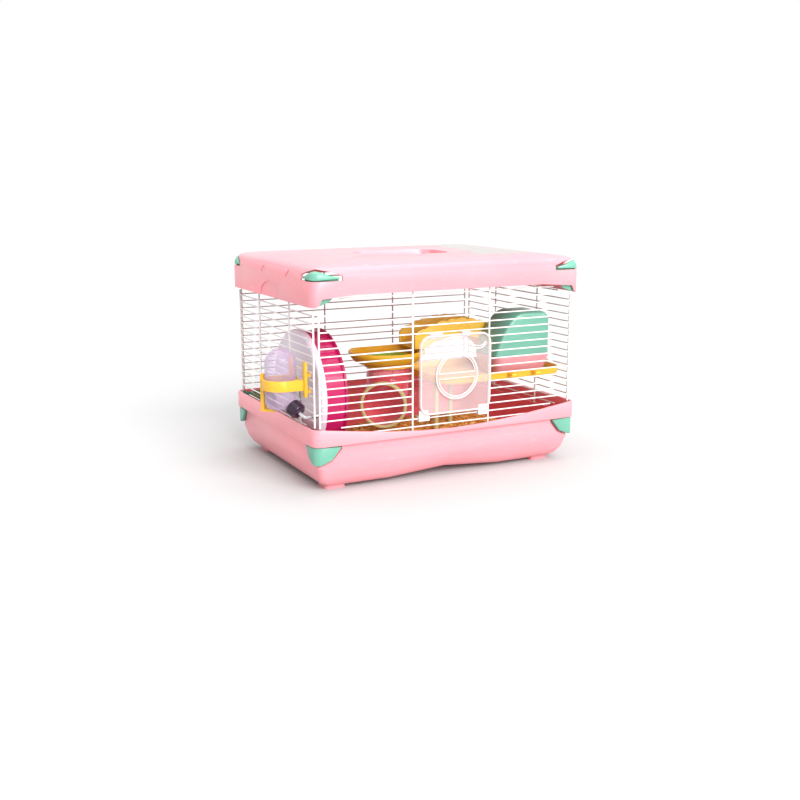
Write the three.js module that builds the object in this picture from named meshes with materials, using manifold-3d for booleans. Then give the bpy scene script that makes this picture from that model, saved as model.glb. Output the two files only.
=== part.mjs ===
// Hamster cage: a moulded tub, four wire panels, a moulded lid and the furniture inside.
// Millimetres, +X to the right along the front, +Y to the back, +Z up, feet on z = 0.
import * as THREE from 'three';
import { mergeVertices } from 'three/addons/utils/BufferGeometryUtils.js';
import Module from 'manifold-3d';

const wasm = await Module();
wasm.setup();

// Whole cage
const HALF_X = 180;
const HALF_Y = 134;
const CORNER_R = 12;
const GAP = 0.3;

// Tub
const FLOOR_Z = 5;
const FLOOR_T = 3;
const BELLY_RISE = 5.5;
const BELLY_HALF = 77;
const BODY_CURVE = [[22, 0], [16, 4.5], [11, 12], [7.2, 25], [5, 39]];
const BODY_INSET = 4;
const BAND_Z = 57.5;
const BAND_T = 2.6;
const LEDGE_Z = 60;
const LEDGE_INSET = 7.4;
const RIM_Z = 77;
const RIM_DIP = 15;
const RIM_DIP_HALF = 165;
const FOOT = { size: 26, height: 7, x: 143, y: 96, r: 5 };

// Lid
const LID_T = 2.2;
const SKIRT_Z = 215.5;
const FRONT_SKIRT_Z = 228;
const SHOULDER = [[0, 247.5], [1.2, 251.4], [3.4, 254.8], [7, 257.8], [12, 260]];
const CROWN = [[36, 262.6], [90, 264]];
const SLOT_Z = 244;
const SLOT_HEIGHT = 13.6;
const RECESS = { x: -12, y: -18, halfX: 58, halfY: 33, r: 20, wall: 4, floor: 250.5, top: 262.6 };
const THUMB = { y: -2, halfY: 31, rise: 18.5 };
const SKYLIGHT = { left: 54, waist: 79, right: 150, front: -84, back: 98 };

// Wire panels
const WIRE = 1.6;
const UPRIGHT = 2.4;
const ROW_Z = 67.5;
const ROW_PITCH = 9.2;
const ROWS = 18;
const FRONT_PLANE = 128;
const SIDE_PLANE = 174;
const PANEL_TOP = 231;
const CORNER_UPRIGHT = { low: 77.8, high: 212 };
const INNER_UPRIGHT_Z = 60.4;

// Door
const DOOR = { left: -45, right: 52.5, bottom: 80.2, top: 175.5, front: -131.9, back: -130.1, r: 14 };
const HINGE_ROW = 1;
const CATCH_ROW = 12;
const PORT = { x: 5, z: 125.5, bore: 26.5, flange: 29.5, flangeT: 1.8, plug: 4, barHalf: 3.2, wellR: 25 };

// Corner clips
const CLIP = { alongX: 34, alongY: 29, t: 1.8, low: 35, high: 76.6, inset: 4.2, press: 1.6, proud: 1.4 };
const LID_CLIP = { low: 216.5, middle: 236, high: 255.4, t: 1.4, inset: 3.8 };

// Wheel
const WHEEL = { y: -37, z: 103, left: -161.5, seam: -154, right: -127, rim: 76, drum: 73.5 };
const AXLE_R = 3;

// Tube and platforms
const TUBE = { x: -38, y: -37, r: 27, wall: 1.6, top: 128, axisZ: 84, bend: 29, reach: 42 };
const TUBE_TURN = THREE.MathUtils.degToRad(35);
const DISH = { x: -40, y: -37, scaleX: 1.04, scaleY: 0.94, floor: 137, rim: 145.5 };
const BRIDGE = { front: -53.4, back: -9.2, rail: 3, railHeight: 13, left: -9, right: 126, wayInX: 101 };
const SHELF = { left: -8, right: 171.2, front: -119.5, back: -5, low: 110.5, floor: 113, top: 120.5 };
const HOUSE = { left: 75, right: 154, front: -109, back: -57, seat: 137.5, top: 191, wall: 2 };
const POSTS = [[-1, -94], [28, -78]];
const POST_R = 3.4;
const BEDDING = { left: -102, right: 150, front: -128, back: 46, low: 14.8, top: 50 };
const PAN = { left: -168, right: -116, front: 58, back: 122, low: 10, top: 77 };

// Bottle and its holder
const BOTTLE = { x: -199, y: -83, r: 18.5, low: 95.5, top: 166.5, wall: 1.3 };
const NECK_START = [-199, -84.5, 110.8];
const NECK_AXIS = [0.36, -0.8, -0.48];
const NECK = { length: 25, r: 7.5, bore: 6 };
const CAP = { from: 19.5, to: 32, r: 9.6, ribs: 18 };
const SPOUT = { y: -115.2, z: 90.5, tip: -165, r: 2.6, bore: 2 };
const STRAP = { low: 119, high: 131, inner: 18.9, outer: 21.3 };
const HOOK_X = -176.3;

// ---- solids -------------------------------------------------------------------------

function toSolid(geometry) {
  const bare = geometry.clone();
  for (const name of Object.keys(bare.attributes)) {
    if (name !== 'position') bare.deleteAttribute(name);
  }
  const merged = mergeVertices(bare, 1e-4);
  return new wasm.Manifold(new wasm.Mesh({
    numProp: 3,
    vertProperties: new Float32Array(merged.attributes.position.array),
    triVerts: new Uint32Array(merged.index.array),
  }));
}

function toGeometry(solid) {
  const mesh = solid.getMesh();
  const geometry = new THREE.BufferGeometry();
  geometry.setAttribute('position', new THREE.BufferAttribute(mesh.vertProperties, 3));
  geometry.setIndex(new THREE.BufferAttribute(mesh.triVerts, 1));
  return geometry;
}

function join(first, ...others) {
  return toGeometry(others.reduce((sum, one) => sum.add(toSolid(one)), toSolid(first)));
}

function cut(first, ...others) {
  return toGeometry(others.reduce((rest, one) => rest.subtract(toSolid(one)), toSolid(first)));
}

function common(first, second) {
  return toGeometry(toSolid(first).intersect(toSolid(second)));
}

// ---- shapes -------------------------------------------------------------------------

const vec = (x, y, z) => new THREE.Vector3(x, y, z);

function box(low, high) {
  const size = high.map((value, i) => value - low[i]);
  const middle = high.map((value, i) => (value + low[i]) / 2);
  return new THREE.BoxGeometry(...size).translate(...middle);
}

// Moves a geometry built along +Z so that it starts at a point and runs along a direction.
function aimed(geometry, from, direction) {
  const turn = new THREE.Quaternion().setFromUnitVectors(vec(0, 0, 1), vec(...direction).normalize());
  return geometry.applyQuaternion(turn).translate(...from);
}

function along(from, direction, distance) {
  return vec(...from).addScaledVector(vec(...direction).normalize(), distance).toArray();
}

// A profile of [radius, height] points, turned about +Z.
function turned(profile, sides = 32) {
  const points = profile.map(([radius, height]) => new THREE.Vector2(radius, height));
  return new THREE.LatheGeometry(points, sides).rotateX(Math.PI / 2);
}

function ring(inner, outer, low, high, sides = 32) {
  return turned([[inner, low], [outer, low], [outer, high], [inner, high], [inner, low]], sides);
}

function rod(radius, from, to, sides = 16) {
  const span = vec(...to).sub(vec(...from));
  const length = span.length();
  const bar = turned([[0, 0], [radius, 0], [radius, length], [0, length]], sides);
  return aimed(bar, from, span.toArray());
}

function roundedShape(x0, y0, x1, y1, r) {
  const shape = new THREE.Shape();
  shape.moveTo(x0 + r, y0).lineTo(x1 - r, y0);
  shape.absarc(x1 - r, y0 + r, r, -Math.PI / 2, 0).lineTo(x1, y1 - r);
  shape.absarc(x1 - r, y1 - r, r, 0, Math.PI / 2).lineTo(x0 + r, y1);
  shape.absarc(x0 + r, y1 - r, r, Math.PI / 2, Math.PI).lineTo(x0, y0 + r);
  shape.absarc(x0 + r, y0 + r, r, Math.PI, Math.PI * 1.5);
  return shape;
}

// A shape in XY, raised from low to high.
function raised(shape, low, high, curveSegments = 5) {
  const settings = { depth: high - low, bevelEnabled: false, curveSegments };
  return new THREE.ExtrudeGeometry(shape, settings).translate(0, 0, low);
}

// A shape drawn in XZ, extruded between two Y planes.
function deep(shape, front, back, curveSegments = 6) {
  return raised(shape, 0, back - front, curveSegments).rotateX(Math.PI / 2).translate(0, back, 0);
}

function signedVolume(positions) {
  let sum = 0;
  const [a, b, c] = [vec(0, 0, 0), vec(0, 0, 0), vec(0, 0, 0)];
  for (let i = 0; i < positions.length; i += 9) {
    a.fromArray(positions, i);
    b.fromArray(positions, i + 3);
    c.fromArray(positions, i + 6);
    sum += a.dot(b.cross(c));
  }
  return sum;
}

// A closed skin through sections with the same number of points. Each section is a closed loop
// whose point i faces point n - 1 - i, so both ends close as strips. Faces point outwards.
function loft(sections) {
  const count = sections[0].length;
  const triangles = [];
  for (let s = 0; s + 1 < sections.length; s += 1) {
    const [here, next] = [sections[s], sections[s + 1]];
    for (let i = 0; i < count; i += 1) {
      const j = (i + 1) % count;
      triangles.push([here[i], here[j], next[j]], [here[i], next[j], next[i]]);
    }
  }
  const [first, last] = [sections[0], sections[sections.length - 1]];
  for (let i = 0; i < count / 2 - 1; i += 1) {
    const a = count - 1 - i;
    triangles.push([first[i], first[a], first[i + 1]], [first[i + 1], first[a], first[a - 1]]);
    triangles.push([last[i], last[i + 1], last[a]], [last[i + 1], last[a - 1], last[a]]);
  }
  const gather = (order) => triangles.flatMap((t) => order.flatMap((k) => t[k].toArray()));
  const plain = gather([0, 1, 2]);
  const positions = signedVolume(plain) < 0 ? gather([0, 2, 1]) : plain;
  const geometry = new THREE.BufferGeometry();
  geometry.setAttribute('position', new THREE.Float32BufferAttribute(positions, 3));
  return mergeVertices(geometry, 1e-4);
}

// A rounded rectangle of points: from the middle of the left side round the front to the right,
// and back round the rear as its mirror image. The height may change from point to point.
function loop({ x = 0, y = 0, halfX, halfY, r, height, arcSteps = 6, edgeSteps = 1 }) {
  const front = [];
  for (let i = 0; i <= arcSteps; i += 1) {
    const angle = (Math.PI / 2) * (i / arcSteps);
    front.push([r - halfX - r * Math.cos(angle), r - halfY - r * Math.sin(angle)]);
  }
  const straight = halfX - r;
  const rightArc = front.map(([px, py]) => [-px, py]).reverse();
  for (let i = 1; i < edgeSteps; i += 1) {
    front.push([-straight + (2 * straight * i) / edgeSteps, -halfY]);
  }
  front.push(...rightArc);
  const rear = front.map(([px, py]) => [px, -py]).reverse();
  return [...front, ...rear].map(([px, py]) => vec(x + px, y + py, height(px, py)));
}

// The outline of the whole cage at an inset.
function outline(inset, height) {
  const r = Math.max(CORNER_R - inset, 7);
  return loop({ halfX: HALF_X - inset, halfY: HALF_Y - inset, r, height, edgeSteps: 8 });
}

// ---- corner sheets ------------------------------------------------------------------

const CORNERS = { front_left: [-1, -1], front_right: [1, -1], back_left: [-1, 1], back_right: [1, 1] };

function atCorners(make) {
  return Object.values(CORNERS).map(make);
}

// How high the clip's lens outline is, from 1 at the corner (t = 0) to nearly 0 at a tip (t = 1).
function lens(t) {
  return Math.sqrt(Math.max(1 - t * t, 0.02));
}

// A sheet that wraps round one corner of the cage, reaching alongX and alongY from the corner.
// section(t) lists its heights as [z, outer inset, inner inset], from the bottom edge to the top.
function cornerSheet([sx, sy], { alongX, alongY, section }) {
  const steps = 6;
  const legs = [alongY - CORNER_R, alongX - CORNER_R];
  const path = [[0, CORNER_R + legs[0], 1, 0], [0, CORNER_R + legs[0] / 2, 1, 0]];
  for (let i = 0; i <= steps; i += 1) {
    const [c, s] = [Math.cos((Math.PI / 2) * (i / steps)), Math.sin((Math.PI / 2) * (i / steps))];
    path.push([CORNER_R * (1 - c), CORNER_R * (1 - s), c, s]);
  }
  path.push([CORNER_R + legs[1] / 2, 0, 0, 1], [CORNER_R + legs[1], 0, 0, 1]);
  return loft(path.map(([px, py, nx, ny]) => {
    const t = py > px ? (py - px) / alongY : (px - py) / alongX;
    const point = (inset, z) => vec(sx * (HALF_X - px - nx * inset), sy * (HALF_Y - py - ny * inset), z);
    const heights = section(t);
    const outside = heights.map(([z, outer]) => point(outer, z));
    const inside = heights.map(([z, , inner]) => point(inner, z)).reverse();
    return [...outside, ...inside];
  }));
}

// ---- tub ----------------------------------------------------------------------------

function bellyZ(x) {
  const t = Math.min(Math.abs(x) / BELLY_HALF, 1);
  return FLOOR_Z + BELLY_RISE * 0.5 * (1 + Math.cos(Math.PI * t));
}

function rimZ(x, y) {
  const dips = y < -HALF_Y / 2 && Math.abs(x) < RIM_DIP_HALF;
  return RIM_Z - (dips ? RIM_DIP * Math.cos((Math.PI / 2) * (x / RIM_DIP_HALF)) : 0);
}

// The curved wall of the tub, grown inwards by an offset.
function bodyRings(offset, lift) {
  return BODY_CURVE.map(([inset, rise]) => (
    outline(inset + offset, (x) => (rise > 20 ? FLOOR_Z : bellyZ(x)) + Math.max(rise, lift))));
}

function clipLow(t) {
  return BAND_Z - (BAND_Z - CLIP.low) * lens(t);
}

function tub() {
  const shell = loft([
    ...bodyRings(0, 0),
    outline(BODY_INSET, () => BAND_Z),
    outline(0, () => BAND_Z),
    outline(0, rimZ),
    outline(BAND_T, rimZ),
    outline(BAND_T, () => LEDGE_Z),
    outline(LEDGE_INSET, () => LEDGE_Z),
    ...bodyRings(FLOOR_T, FLOOR_T).reverse(),
  ]);
  const half = FOOT.size / 2;
  const feet = atCorners(([sx, sy]) => raised(roundedShape(-half, -half, half, half, FOOT.r),
    0, FOOT.height, 3).translate(sx * FOOT.x, sy * FOOT.y, 0));
  const pocketDepth = CLIP.inset + CLIP.t + CLIP.press + GAP;
  const backing = atCorners((at) => cornerSheet(at, {
    alongX: 38, alongY: 33,
    section: () => [30, LEDGE_Z + 1].map((z) => [z, pocketDepth - 0.6, pocketDepth + 2.2]),
  }));
  const pockets = atCorners((at) => cornerSheet(at, {
    alongX: 36, alongY: 31,
    section: (t) => [clipLow(t) - 2.5, LEDGE_Z + 3].map((z) => [z, BAND_T, pocketDepth]),
  }));
  return cut(join(shell, ...feet, ...backing), ...pockets);
}

// The lower half stands nearly flush with the band; the upper half runs up behind it.
function tubClip(at) {
  const { alongX, alongY, high, inset, t: thick, proud } = CLIP;
  const inner = inset + thick;
  const section = (t) => [
    [clipLow(t), proud + 0.8, inner],
    [clipLow(t) + 0.8, proud, inner],
    [BAND_Z - 0.6 - 1.5 * t, proud, inner],
    [BAND_Z - 0.4 - 1.5 * t, inset, inner],
    [BAND_Z + (high - BAND_Z) * lens(t), inset, inner],
  ];
  return cornerSheet(at, { alongX, alongY, section });
}

// Wood shavings heaped over the front of the floor.
function bedding() {
  const { left, right, front, back, low, top } = BEDDING;
  const steps = 14;
  const rows = 8;
  const heapZ = (x, y) => {
    const ends = Math.min((x - left) / 26, (right - x) / 60, 1);
    const rear = THREE.MathUtils.smoothstep(back - y, 0, 62);
    const ripple = 2.2 * Math.sin(x * 0.11) * Math.cos(y * 0.09 + 1);
    return low + 2 + (top - low - 2 + ripple) * Math.max(ends, 0) ** 0.7 * rear;
  };
  const sections = Array.from({ length: steps + 1 }, (_, s) => {
    const x = left + ((right - left) * s) / steps;
    const ys = Array.from({ length: rows + 1 }, (__, k) => front + ((back - front) * k) / rows);
    return [...ys.map((y) => vec(x, y, low)), ...ys.reverse().map((y) => vec(x, y, heapZ(x, y)))];
  });
  const hollow = loft([
    ...bodyRings(FLOOR_T + 1, FLOOR_T + 1),
    outline(LEDGE_INSET + 1, () => LEDGE_Z),
  ]);
  const holes = POSTS.map(([x, y]) => rod(POST_R + 0.6, [x, y, 0], [x, y, 80], 10));
  return cut(common(loft(sections), hollow), ...holes);
}

// ---- lid ----------------------------------------------------------------------------

function skirtZ(x, y) {
  const overFront = Math.abs(y) > HALF_Y - 8;
  const t = THREE.MathUtils.smoothstep(HALF_X - Math.abs(x), 6, 15);
  return overFront ? SKIRT_Z + (FRONT_SKIRT_Z - SKIRT_Z) * t : SKIRT_Z;
}

// How far in the lid's shoulder lies at a height.
function shoulderInset(z) {
  for (let i = 1; i < SHOULDER.length; i += 1) {
    const [[insetA, zA], [insetB, zB]] = [SHOULDER[i - 1], SHOULDER[i]];
    if (z < zB) return insetA + (insetB - insetA) * Math.max((z - zA) / (zB - zA), 0);
  }
  return SHOULDER[SHOULDER.length - 1][0];
}

function lidSolid() {
  const above = [...SHOULDER, ...CROWN].map(([inset, z]) => outline(inset, () => z));
  return loft([outline(0, skirtZ), ...above]);
}

function lidWall() {
  const inside = [...SHOULDER, ...CROWN]
    .map(([inset, z]) => outline(inset + LID_T, () => z - LID_T * 0.8));
  return cut(lidSolid(), loft([outline(LID_T, () => SKIRT_Z - 5), ...inside]));
}

function skylightShape(grow) {
  const { left, waist, right, front, back } = SKYLIGHT;
  const shape = new THREE.Shape();
  shape.moveTo(left - grow, front - grow).lineTo(right + grow, front - grow);
  shape.lineTo(right + grow, back + grow).lineTo(left + 12 - grow, back + grow);
  shape.bezierCurveTo(waist + 12 - grow, 44, waist + 6 - grow, -26, left - grow, front - grow);
  return shape;
}

function recessShape(grow) {
  const [halfX, halfY, r] = [RECESS.halfX + grow, RECESS.halfY + grow, RECESS.r + grow];
  return roundedShape(RECESS.x - halfX, RECESS.y - halfY, RECESS.x + halfX, RECESS.y + halfY, r);
}

const HANDLE = { axisY: 4, axisZ: 256.5, halfX: 50, arm: 44, bar: 7, pinR: 2, pinX: 60.5 };

function lid(wall) {
  const bowl = raised(recessShape(RECESS.wall), RECESS.floor - RECESS.wall, RECESS.top);
  const wells = [-26, 26].map((dx) => raised(roundedShape(-17, -11, 17, 11, 9), RECESS.floor - 2.4,
    RECESS.floor + 1, 3).translate(RECESS.x + dx, RECESS.y - 8, 0));
  const reach = HANDLE.pinX + 0.8;
  const socket = rod(HANDLE.pinR + 0.4, [RECESS.x - reach, HANDLE.axisY, HANDLE.axisZ],
    [RECESS.x + reach, HANDLE.axisY, HANDLE.axisZ], 12);
  const slots = atCorners((at) => cornerSheet(at, {
    alongX: 37.5, alongY: 32.5,
    section: (t) => {
      const top = SLOT_Z + SLOT_HEIGHT * Math.max(lens(t), 0.45);
      return [SLOT_Z, top].map((z) => [z, -1, shoulderInset(z) + 6]);
    },
  }));
  const thumbGrip = rod(1, [-1, 0, 0], [1.2, 0, 0], 24).scale(1, THUMB.halfY, THUMB.rise)
    .translate(-HALF_X, THUMB.y, SKIRT_Z);
  const vents = [20, -60].map((y) => box([-2 - HALF_X, -1, -5.5], [8 - HALF_X, 1, 5.5])
    .rotateX(0.65).translate(0, y, 248));
  const body = cut(join(wall, bowl), raised(recessShape(0), RECESS.floor, 270));
  const window = raised(skylightShape(0), 250, 270, 7);
  return cut(body, ...wells, socket, thumbGrip, ...slots, ...vents, window);
}

// The clear panel lies in the lid's opening, and its flange bears up against the inside.
function skylight(wall) {
  const lowered = (by) => wall.clone().translate(0, 0, -by);
  const pane = join(wall, lowered(1.4));
  const flange = lowered(2.6);
  return join(
    common(pane, raised(skylightShape(-GAP), 245, 270, 7)),
    common(flange, raised(skylightShape(3), 245, 270, 7)),
  );
}

// A squeeze clip: its hidden lower half grips the wires, its upper half fills a slot in the lid.
function lidClip(at) {
  const { low, middle, high, t: thick, inset } = LID_CLIP;
  const section = (t) => {
    const step = SLOT_Z + 0.5 + 1.3 * t;
    const top = middle + (high - middle) * Math.max(lens(t), 0.62);
    const shown = [0, 1, 2].map((k) => step + 0.9 + ((top - step - 0.9) * k) / 2);
    return [
      [middle - (middle - low) * lens(t), inset, inset + thick],
      [step, inset, inset + thick],
      ...shown.map((z) => [z, shoulderInset(z) + 0.1, Math.max(shoulderInset(z) + 2, inset + thick)]),
    ];
  };
  return cornerSheet(at, { alongX: CLIP.alongX, alongY: CLIP.alongY, section });
}

function carryHandle() {
  const { axisY, axisZ, halfX, arm, bar, pinR, pinX } = HANDLE;
  const low = axisZ - bar / 2;
  const outer = roundedShape(-halfX - bar / 2, axisY - arm, halfX + bar / 2, axisY + bar / 2, 3.4);
  const inner = roundedShape(-halfX + bar / 2, axisY - arm + bar, halfX - bar / 2, axisY + bar, 3.4);
  const bail = cut(raised(outer, low, low + bar, 3), raised(inner, low - 1, low + bar + 1, 3));
  const pins = [-1, 1]
    .map((side) => rod(pinR, [side * halfX, axisY, axisZ], [side * pinX, axisY, axisZ], 10));
  return join(bail, ...pins).translate(RECESS.x, 0, 0);
}

// ---- wire panels --------------------------------------------------------------------

const rowZ = (row) => ROW_Z + ROW_PITCH * row;

// A panel in the XZ plane at y = 0: rows run along X, uprights stand at the given places.
function wirePanel({ half, uprights, doorRows = [], door = [0, 0] }) {
  const bars = [];
  const bar = (x0, x1, z) => box([x0, -WIRE / 2, z - WIRE / 2], [x1, WIRE / 2, z + WIRE / 2]);
  for (let row = 0; row < ROWS; row += 1) {
    const z = rowZ(row);
    const reach = z < CORNER_UPRIGHT.low || z > CORNER_UPRIGHT.high ? half - 26 : half;
    if (row >= doorRows[0] && row <= doorRows[1]) {
      bars.push(bar(-reach, door[0], z), bar(door[1], reach, z));
    } else {
      bars.push(bar(-reach, reach, z));
    }
  }
  const posts = uprights.map((x) => {
    const atCorner = Math.abs(x) > half - 5;
    const low = atCorner ? CORNER_UPRIGHT.low : INNER_UPRIGHT_Z;
    const high = atCorner ? CORNER_UPRIGHT.high : PANEL_TOP;
    return box([x - UPRIGHT / 2, -UPRIGHT / 2, low], [x + UPRIGHT / 2, UPRIGHT / 2, high]);
  });
  return join(posts[0], ...posts.slice(1), ...bars);
}

const FRONT_HALF = 171;
const SIDE_HALF = 123;
const FRONT_UPRIGHTS = [-FRONT_HALF + 1, -52, 52, FRONT_HALF - 1];
const SIDE_UPRIGHTS = [-SIDE_HALF + 1, -50, 50, SIDE_HALF - 1];

function frontWires() {
  const door = { doorRows: [HINGE_ROW + 1, CATCH_ROW - 1], door: [-52, 52] };
  return wirePanel({ half: FRONT_HALF, uprights: FRONT_UPRIGHTS, ...door }).translate(0, -FRONT_PLANE, 0);
}

function backWires() {
  return wirePanel({ half: FRONT_HALF, uprights: FRONT_UPRIGHTS }).translate(0, FRONT_PLANE, 0);
}

function sideWires(side) {
  const panel = wirePanel({ half: SIDE_HALF, uprights: SIDE_UPRIGHTS });
  return panel.rotateZ(Math.PI / 2).translate(side * SIDE_PLANE, 0, 0);
}

// ---- door ---------------------------------------------------------------------------

function doorPanel() {
  const { left, right, bottom, top, front, back, r } = DOOR;
  const plate = deep(roundedShape(left, bottom, right, top, r), front, back, 4);
  const rim = cut(deep(roundedShape(left, bottom, right, top, r), front - 1.2, front + 0.2, 4),
    deep(roundedShape(left + 3, bottom + 3, right - 3, top - 3, r - 3), front - 2, front + 1, 4));
  const lip = new THREE.Shape();
  lip.absellipse(34.5, 163, 11, 8, Math.PI, Math.PI * 2).lineTo(43.5, 163);
  lip.absellipse(34.5, 163, 9, 6, Math.PI * 2, Math.PI, true);
  const bore = rod(PORT.bore, [PORT.x, front - 5, PORT.z], [PORT.x, back + 5, PORT.z], 28);
  return cut(join(plate, rim, deep(lip, front - 2.1, front + 0.2, 5)), bore);
}

function doorCap() {
  const { flange, bore, flangeT, plug, barHalf, wellR } = PORT;
  const disc = turned([[0, 0], [flange, 0], [flange, flangeT], [bore - 0.5, flangeT], [bore - 0.5, plug],
    [0, plug]], 28);
  const start = Math.asin(barHalf / wellR);
  const well = new THREE.Shape().absarc(0, 0, wellR, start, Math.PI - start);
  const wells = [0, Math.PI].map((turn) => raised(well, -1, plug - 2, 8).rotateZ(turn));
  return cut(disc, ...wells).rotateX(-Math.PI / 2).translate(PORT.x, DOOR.front - GAP - flangeT, PORT.z);
}

// A white clip that snaps round the hinge wire and holds the door's lower corner.
function hingeClip(x0, x1) {
  const z = rowZ(HINGE_ROW);
  const body = box([x0, DOOR.front + 0.4, z - 2.8], [x1, -FRONT_PLANE + 2.4, DOOR.bottom - GAP]);
  const tongue = box([x0 + 1, DOOR.back + GAP, z], [x1 - 1, -FRONT_PLANE - 0.4, DOOR.bottom + 5.8]);
  return cut(join(body, tongue), rod(1.5, [x0 - 1, -FRONT_PLANE, z], [x1 + 1, -FRONT_PLANE, z], 14));
}

// A white catch over the door's top edge, with a nose that snaps under the wire above.
function doorCatch(x0, x1) {
  const nose = rowZ(CATCH_ROW) - WIRE / 2 - GAP;
  const cap = box([x0, DOOR.front - 0.8, DOOR.top + 0.2], [x1, -FRONT_PLANE + 0.6, nose]);
  const leg = box([x0, DOOR.back + GAP, DOOR.top - 5], [x1, -FRONT_PLANE + 0.6, nose]);
  return join(cap, leg);
}

// ---- bottle -------------------------------------------------------------------------

function bottleProfile(inset) {
  const { r, low, top } = BOTTLE;
  const radius = r - inset;
  const [bottom, crown] = [low + inset, top - inset];
  const fillet = Array.from({ length: 4 }, (_, i) => {
    const angle = (Math.PI / 2) * (i / 3);
    return [radius - 9 * (1 - Math.sin(angle)), bottom + 9 * (1 - Math.cos(angle))];
  });
  const dome = Array.from({ length: 6 }, (_, i) => {
    const angle = (Math.PI / 2) * (i / 5);
    return [i === 5 ? 0 : radius * Math.cos(angle), crown - radius * (1 - Math.sin(angle))];
  });
  return [[0, bottom], ...fillet, ...dome];
}

function bottleBody() {
  const { x, y, wall } = BOTTLE;
  const skin = (inset) => turned(bottleProfile(inset), 24).translate(x, y, 0);
  const neckEnd = along(NECK_START, NECK_AXIS, NECK.length);
  const mouth = along(NECK_START, NECK_AXIS, NECK.length + 3);
  const outside = join(skin(0), rod(NECK.r, NECK_START, neckEnd, 16));
  return cut(outside, skin(wall), rod(NECK.bore, NECK_START, mouth, 12));
}

function bottleCap() {
  const length = CAP.to - CAP.from;
  const inside = NECK.length + GAP - CAP.from;
  const shell = turned([[NECK.r + GAP, 0], [CAP.r - 0.8, 0], [CAP.r - 0.8, length],
    [SPOUT.r + GAP, length], [SPOUT.r + GAP, inside], [NECK.r + GAP, inside],
    [NECK.r + GAP, 0]], CAP.ribs);
  const ribs = Array.from({ length: CAP.ribs }, (_, i) => box([CAP.r - 1.6, -0.8, 0.6],
    [CAP.r, 0.8, length - 0.8]).rotateZ((Math.PI * 2 * (i + 0.5)) / CAP.ribs));
  return aimed(join(shell, ...ribs), along(NECK_START, NECK_AXIS, CAP.from), NECK_AXIS);
}

function annulus(outer, inner) {
  const shape = new THREE.Shape().absarc(0, 0, outer, 0, Math.PI * 2);
  shape.holes.push(new THREE.Path().absarc(0, 0, inner, 0, Math.PI * 2, true));
  return shape;
}

function swept(shape, path, steps, curveSegments) {
  return new THREE.ExtrudeGeometry(shape, { steps, extrudePath: path, curveSegments, bevelEnabled: false });
}

function spout() {
  const start = vec(...along(NECK_START, NECK_AXIS, NECK.length + 1));
  const exit = vec(...along(NECK_START, NECK_AXIS, CAP.to + 2));
  const bend = vec(...along(NECK_START, NECK_AXIS, CAP.to + 6));
  const straight = vec(-180, SPOUT.y, SPOUT.z);
  const path = new THREE.CurvePath();
  path.add(new THREE.LineCurve3(start, exit));
  path.add(new THREE.CubicBezierCurve3(exit, bend, vec(-184, SPOUT.y, SPOUT.z), straight));
  path.add(new THREE.LineCurve3(straight, vec(SPOUT.tip, SPOUT.y, SPOUT.z)));
  const lip = aimed(ring(1.5, SPOUT.r, 0, 0.8, 12), [SPOUT.tip - 0.6, SPOUT.y, SPOUT.z], [1, 0, 0]);
  return join(swept(annulus(SPOUT.r, SPOUT.bore), path, 9, 3), lip);
}

function spoutBall() {
  return new THREE.SphereGeometry(1.75, 10, 8).translate(SPOUT.tip - 2.2, SPOUT.y, SPOUT.z);
}

function bottleHolder() {
  const { x, y } = BOTTLE;
  const middle = (STRAP.inner + STRAP.outer) / 2;
  const strap = ring(STRAP.inner, STRAP.outer, STRAP.low, STRAP.high, 28).translate(x, y, 0);
  const spine = join(
    box([STRAP.inner + 0.6, -4, 92], [STRAP.outer + 2.4, 4, 135.5]),
    box([7, -4, 92], [STRAP.outer + 1, 4, 94.6]),
  ).rotateZ(THREE.MathUtils.degToRad(135)).translate(x, y, 0);
  const bore = rod(STRAP.inner, [x, y, 96], [x, y, 140], 28);
  const sides = [-1, 1].flatMap((side) => {
    const armY = y + side * middle;
    const hookY = armY + side * 1.6;
    const pegs = [rowZ(5.5), rowZ(7.5)].map((z) => box([HOOK_X - 0.5, hookY - 2, z - 2.2],
      [HOOK_X + 5, hookY + 2, z + 2.2]));
    return [
      box([x, armY - 1.3, STRAP.low], [HOOK_X, armY + 1.3, STRAP.high]),
      box([HOOK_X - 3, hookY - 4, 111.7], [HOOK_X, hookY + 4, 151.6]),
      ...pegs,
    ];
  });
  return cut(join(strap, spine, ...sides), bore);
}

// ---- wheel --------------------------------------------------------------------------

function aboutWheel(geometry) {
  return aimed(geometry, [0, WHEEL.y, WHEEL.z], [1, 0, 0]);
}

function wheelDrum() {
  const { seam, right, drum } = WHEEL;
  const start = seam + GAP;
  const wall = turned([[drum - 2, start], [drum, start], [drum, right - 4], [drum + 1.8, right - 3.4],
    [drum + 1.8, right], [drum - 8, right], [drum - 8, right - 2], [drum - 2, right - 2.4],
    [drum - 2, start]], 32);
  const rungs = Array.from({ length: 20 }, (_, i) => box([drum - 3.4, -1, start], [drum - 1.5, 1, right - 1])
    .rotateZ((Math.PI * 2 * i) / 20));
  return aboutWheel(join(wall, ...rungs));
}

function wheelDisc() {
  const { left, seam, rim } = WHEEL;
  return aboutWheel(turned([[AXLE_R + GAP, left], [rim - 4, left], [rim, left + 3], [rim, seam],
    [rim - 1.8, seam], [rim - 1.8, left + 4], [rim - 5, left + 1.8], [9, left + 1.8], [9, seam + 1],
    [AXLE_R + GAP, seam + 1], [AXLE_R + GAP, left]], 32));
}

function wheelAxle() {
  const { left, seam } = WHEEL;
  return aboutWheel(turned([[0, left - 4.9], [AXLE_R, left - 4.9], [AXLE_R, seam + 1 + GAP],
    [6, seam + 1 + GAP], [6, seam + 3], [3.5, seam + 4.5], [0, seam + 4.5]], 20));
}

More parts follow.
